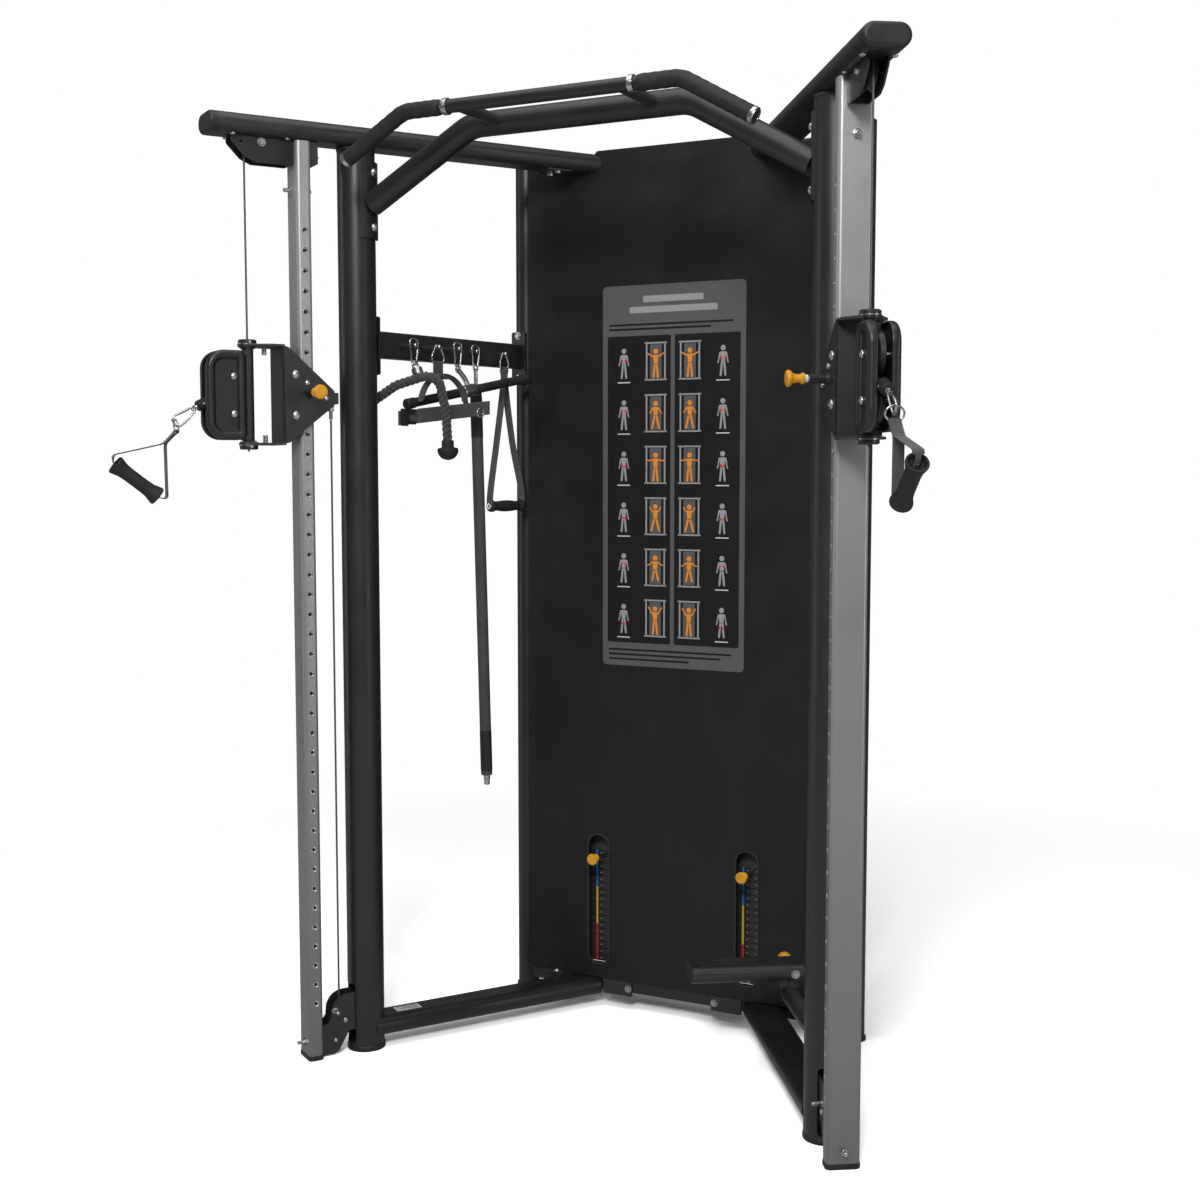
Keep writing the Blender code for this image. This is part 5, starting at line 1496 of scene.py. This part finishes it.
def ankle_cuff():
    """Two webbing bands hanging face on, an arch of the same webbing, and the ring on its peg."""
    t, y = PEGS[1], 0.098
    up = (0, 0, 1)
    slope = Vector((0.333, 0, 0.036))
    back = [Vector((0.050, y - 0.0045, 1.6420)) + slope * k for k in (0.0, 0.30, 0.62, 0.86)]
    front = [Vector((0.112, y + 0.0030, 1.6500)) + slope * k for k in (0.0, 0.30, 0.60, 0.80)]
    bands = [ribbon(even(back, 0.008), 0.0370, 0.0050, up), ribbon(even(front, 0.008), 0.0370, 0.0050, up)]
    centre = (t - 0.008, 1.675)
    arch = [(x, y - 0.001, z) for x, z in arc(centre, 0.0850, 172, 8, 36)]
    strap = ribbon(arch, 0.0180, 0.0036, (0, 1, 0))
    inner = ribbon([(x, y - 0.001, z) for x, z in arc(centre, 0.0800, 168, 12, 32)], 0.0165, 0.0030,
                   (0, 1, 0))
    tab = [box((t - 0.016, 0.0720, 1.7480), (t + 0.016, 0.1040, 1.7540), 0.0018),
           box((t - 0.017, 0.0672, 1.7500), (t + 0.017, 0.0728, 1.7960), 0.0018)]
    buckle = [box((0.050, y + 0.0010, 1.6225), (0.072, y + 0.0100, 1.6655), 0.0025)]
    rails = (1.6270, 1.6580)
    buckle += [box((0.050, y + 0.0010, low), (0.100, y + 0.0085, low + 0.0085), 0.0022) for low in rails]
    ring = hoop((0.340, y + 0.0070, 1.6640), (0.0120, 0, 0), (0, 0, 0.0120), 0.0022, 32)
    threads = stitches([p + Vector((0, 0.0027, 0)) for p in even(front, 0.008)], up, (-0.0150, 0.0150),
                       0.0002, 0.0036)
    rings = [ring, d_ring(t, 0.070, 1.7930, 0.043)]
    cloth = bands + [strap, inner] + tab
    piece("cuff", "ankle_cuff", [(cloth, webbing), (buckle, plastic), (threads, thread), (rings, chrome)],
          RACK,
          ["ankle_cuff"])


def short_bar():
    """A straight bar in a swivel sleeve that hangs from a snap hook."""
    t, y = PEGS[2], 0.072
    low, high = Vector((0.100, y, 1.6798)), Vector((0.561, y, 1.7662))
    along = (high - low).normalized()
    bar = rod(even([low, high], 0.02), 0.0122, 32)
    tips = [lathe([(0, -0.026), (0.0135, -0.026), (0.0140, -0.024), (0.0140, 0.001), (0.0115, 0.004),
                   (0, 0.004)],
                  place, direction, 32) for place, direction in ((high, along), (low, -along))]
    swivel = rod(smooth([(t + 0.001, y, 1.776), (t + 0.016, y, 1.764), (t + 0.030, y, 1.749),
                         (t + 0.038, y, 1.734)], 5),
                 0.0068, 20)
    middle = low + along * ((t + 0.040 - low.x) / along.x)
    sleeve = lathe([(0, -0.023), (0.0158, -0.023), (0.0172, -0.020), (0.0172, 0.020), (0.0158, 0.023),
                    (0, 0.023)],
                   middle, along, 36)
    eye = hoop((t, y, 1.7790), (0.0075, 0, 0), (0, 0, 0.0085), 0.0026, 24)
    metal = [swivel, sleeve, eye] + snap_hook(t, y, 0.052)
    piece("lat_bar", "short_bar", [([bar] + tips, rubber), (metal, chrome)], RACK, ["short_bar"])


def long_bar():
    """A long bar that hangs by its neck, a little off plumb."""
    t, y = PEGS[3], 0.040
    top, foot = Vector((t + 0.001, y, 1.722)), Vector((t + 0.035, y, 0.664))
    down = (foot - top).normalized()
    length = (foot - top).length
    bar = lathe([(0, 0), (0.0150, 0), (0.0158, 0.003), (0.0158, length - 0.003), (0.0150, length),
                 (0, length)], top, down, 40)
    sleeves = [lathe([(0, low), (0.0160, low), (0.0164, low + 0.002), (0.0164, high - 0.002),
                      (0.0160, high), (0, high)],
                     top, down, 40) for low, high in ((length - 0.126, length - 0.012), (0.010, 0.122))]
    neck = rod([(t, y, 1.783), (t + 0.0005, y, 1.760), (t + 0.001, y, 1.705)], 0.0055, 18)
    eye = hoop((t, y, 1.7880), (0.0075, 0, 0), (0, 0, 0.0085), 0.0026, 24)
    tip = lathe([(0, -0.002), (0.0092, -0.002), (0.0092, 0.012), (0.0080, 0.014), (0.0080, 0.026),
                 (0.0065, 0.028),
                 (0, 0.028)], foot, down, 28, edge=0.0006)
    collar = cylinder(0.0110, -0.008, 0.006, top, down, 28, edge=0.0012)
    metal = [neck, eye, tip, collar] + snap_hook(t, y, 0.048)
    piece("straight_bar", "long_bar", [(bar, grey_rubber), (sleeves, rubber), (metal, chrome)], RACK,
          ["long_bar"])


def strap_handle():
    """A webbing loop that holds a turned grip."""
    t, y, bottom = PEGS[4], 0.040, 1.4120
    across = (0, 1, 0)
    legs, threads = [], []
    for sign, foot in ((1, t + 0.071), (-1, t - 0.061)):
        path = [(t, y, 1.796), (t + sign * 0.0045, y, 1.786), (t + sign * 0.0030, y, 1.752),
                (t + sign * 0.032, y, 1.590),
                (foot - sign * 0.006, y, bottom + 0.060), (foot, y, bottom + 0.015),
                (foot - sign * 0.001, y, bottom - 0.002)]
        path = smooth(path, 7)
        legs.append(ribbon(path, 0.0235, 0.0024, across))
        threads += stitches(path[14:-6], across, (-0.0095, 0.0095), 0.0012, 0.0040)
    profile = [(0, 0.002), (0.0150, 0.002), (0.0160, 0.004), (0.0160, 0.012), (0.0128, 0.018),
               (0.0132, 0.030), (0.0150, 0.048),
               (0.0158, 0.067), (0.0150, 0.086), (0.0132, 0.104), (0.0128, 0.116), (0.0160, 0.122),
               (0.0160, 0.130),
               (0.0150, 0.132), (0, 0.132)]
    grip = lathe(profile, (t - 0.062, y, bottom), (1, 0, 0), 40, edge=0.0015)
    sides = ((t + 0.0722, 1), (t - 0.0622, -1))
    eyelets = [hollow(0.0030, 0.0085, 0, 0.0022, (x, y, bottom), (sign, 0, 0), 28, edge=0.0005) for x,
               sign in sides]
    ring = d_ring(t, y, 1.7925, 0.033)
    metal = eyelets + [ring]
    piece("loop_handle", "strap_handle", [(legs, webbing), (threads, thread), (grip, rubber),
                                          (metal, chrome)],
          RACK, ["strap_handle"])


# ---------------------------------------------------------------- studio


def aim(obj, target):
    direction = Vector(target) - obj.location
    obj.rotation_euler = direction.to_track_quat("-Z", "Y").to_euler()


def area_light(name, place, target, width, height, power, colour=(1, 1, 1)):
    data = bpy.data.lights.new(name, "AREA")
    data.shape = "RECTANGLE"
    data.size, data.size_y, data.energy, data.color = width, height, power, colour
    obj = bpy.data.objects.new(name, data)
    obj.location = place
    bpy.context.scene.collection.objects.link(obj)
    aim(obj, target)


def studio():
    """Floor, even surroundings, a key light and softer fills."""
    floor_mesh = box((-14, -14, -0.20), (14, 14, 0.0), 0)
    floor = bpy.data.objects.new("studio_floor", floor_mesh)
    bpy.context.scene.collection.objects.link(floor)
    floor_mesh.materials.append(floor_paint())
    world = bpy.data.worlds.new("studio")
    bpy.context.scene.world = world
    world.use_nodes = True
    tree = world.node_tree
    ambient = tree.nodes["Background"]
    ambient.inputs["Color"].default_value = (1, 1, 1, 1)
    ambient.inputs["Strength"].default_value = 0.15
    backdrop = tree.nodes.new("ShaderNodeBackground")
    backdrop.inputs["Color"].default_value = (1, 1, 1, 1)
    chosen = tree.nodes.new("ShaderNodeMixShader")
    ray = tree.nodes.new("ShaderNodeLightPath")
    tree.links.new(ray.outputs["Is Camera Ray"], chosen.inputs[0])
    tree.links.new(ambient.outputs[0], chosen.inputs[1])
    tree.links.new(backdrop.outputs[0], chosen.inputs[2])
    tree.links.new(chosen.outputs[0], tree.nodes["World Output"].inputs["Surface"])
    area_light("key", (1.7, -5.2, 4.1), (0, -0.3, 1.2), 1.3, 1.3, 175)
    area_light("left_strip", (-4.2, -2.2, 1.6), (-0.6, -0.5, 1.3), 0.5, 3.4, 18)
    area_light("right_strip", (4.4, -1.2, 1.8), (0.6, -0.5, 1.3), 0.5, 3.4, 30)
    area_light("top_fill", (0.0, -1.5, 5.0), (0, -0.3, 0), 4.0, 4.0, 95)
    scene = bpy.context.scene
    scene.view_settings.view_transform = "Standard"


def floor_paint():
    """A matt pale floor that fades into the backdrop and looks brighter than the light it sends back."""
    paint = Paint("studio_floor_paint")
    seen = paint.node("ShaderNodeLightPath").outputs["Is Camera Ray"]
    tone = paint.mix(paint.spread(paint.noise(1.5, 3.0), 0.0, 1.0), (0.62, 0.62, 0.62), (0.66, 0.66, 0.66))
    bright = paint.mix(paint.spread(paint.noise(1.5, 3.0), 0.0, 1.0), (2.25, 2.25, 2.25),
                       (2.35, 2.35, 2.35))
    matt = paint.node("ShaderNodeBsdfDiffuse", {"Color": paint.mix(seen, tone, bright)}).outputs[0]
    glow = paint.node("ShaderNodeEmission", {"Color": (1, 1, 1, 1), "Strength": 1.0}).outputs[0]
    distance = paint.node("ShaderNodeVectorMath", {0: paint.place}, operation="LENGTH").outputs["Value"]
    far = paint.math("MULTIPLY", paint.spread(distance, 0.0, 1.0, 1.2, 3.2), seen)
    mixed = paint.node("ShaderNodeMixShader", {0: far, 1: matt, 2: glow}).outputs[0]
    paint.tree.links.new(mixed, paint.tree.nodes["Material Output"].inputs["Surface"])
    return paint.material


def camera():
    """A camera at the height of a standing viewer, to the right of the machine."""
    data = bpy.data.cameras.new("camera")
    data.lens = 47.05
    data.sensor_width = 36
    obj = bpy.data.objects.new("camera", data)
    bpy.context.scene.collection.objects.link(obj)
    obj.location = (1.740, -3.855, 1.505)
    obj.rotation_euler = (math.radians(90 - 4.649), 0, math.radians(26.931))
    bpy.context.scene.camera = obj


for build in (tower, panel_trim, placard, stack_scales, selector_pins, beams, base_tubes, posts, columns,
              top_bracket,
              lower_bracket, cables, carriage, pull_pins, swivel_housing, swivel_cables, cable_stops,
              hooks, handles, grips,
              pull_up_bar, foot_arm, foot_step, foot_knob, rack, triceps_rope, ankle_cuff, short_bar,
              long_bar, strap_handle, studio, camera):
    build()
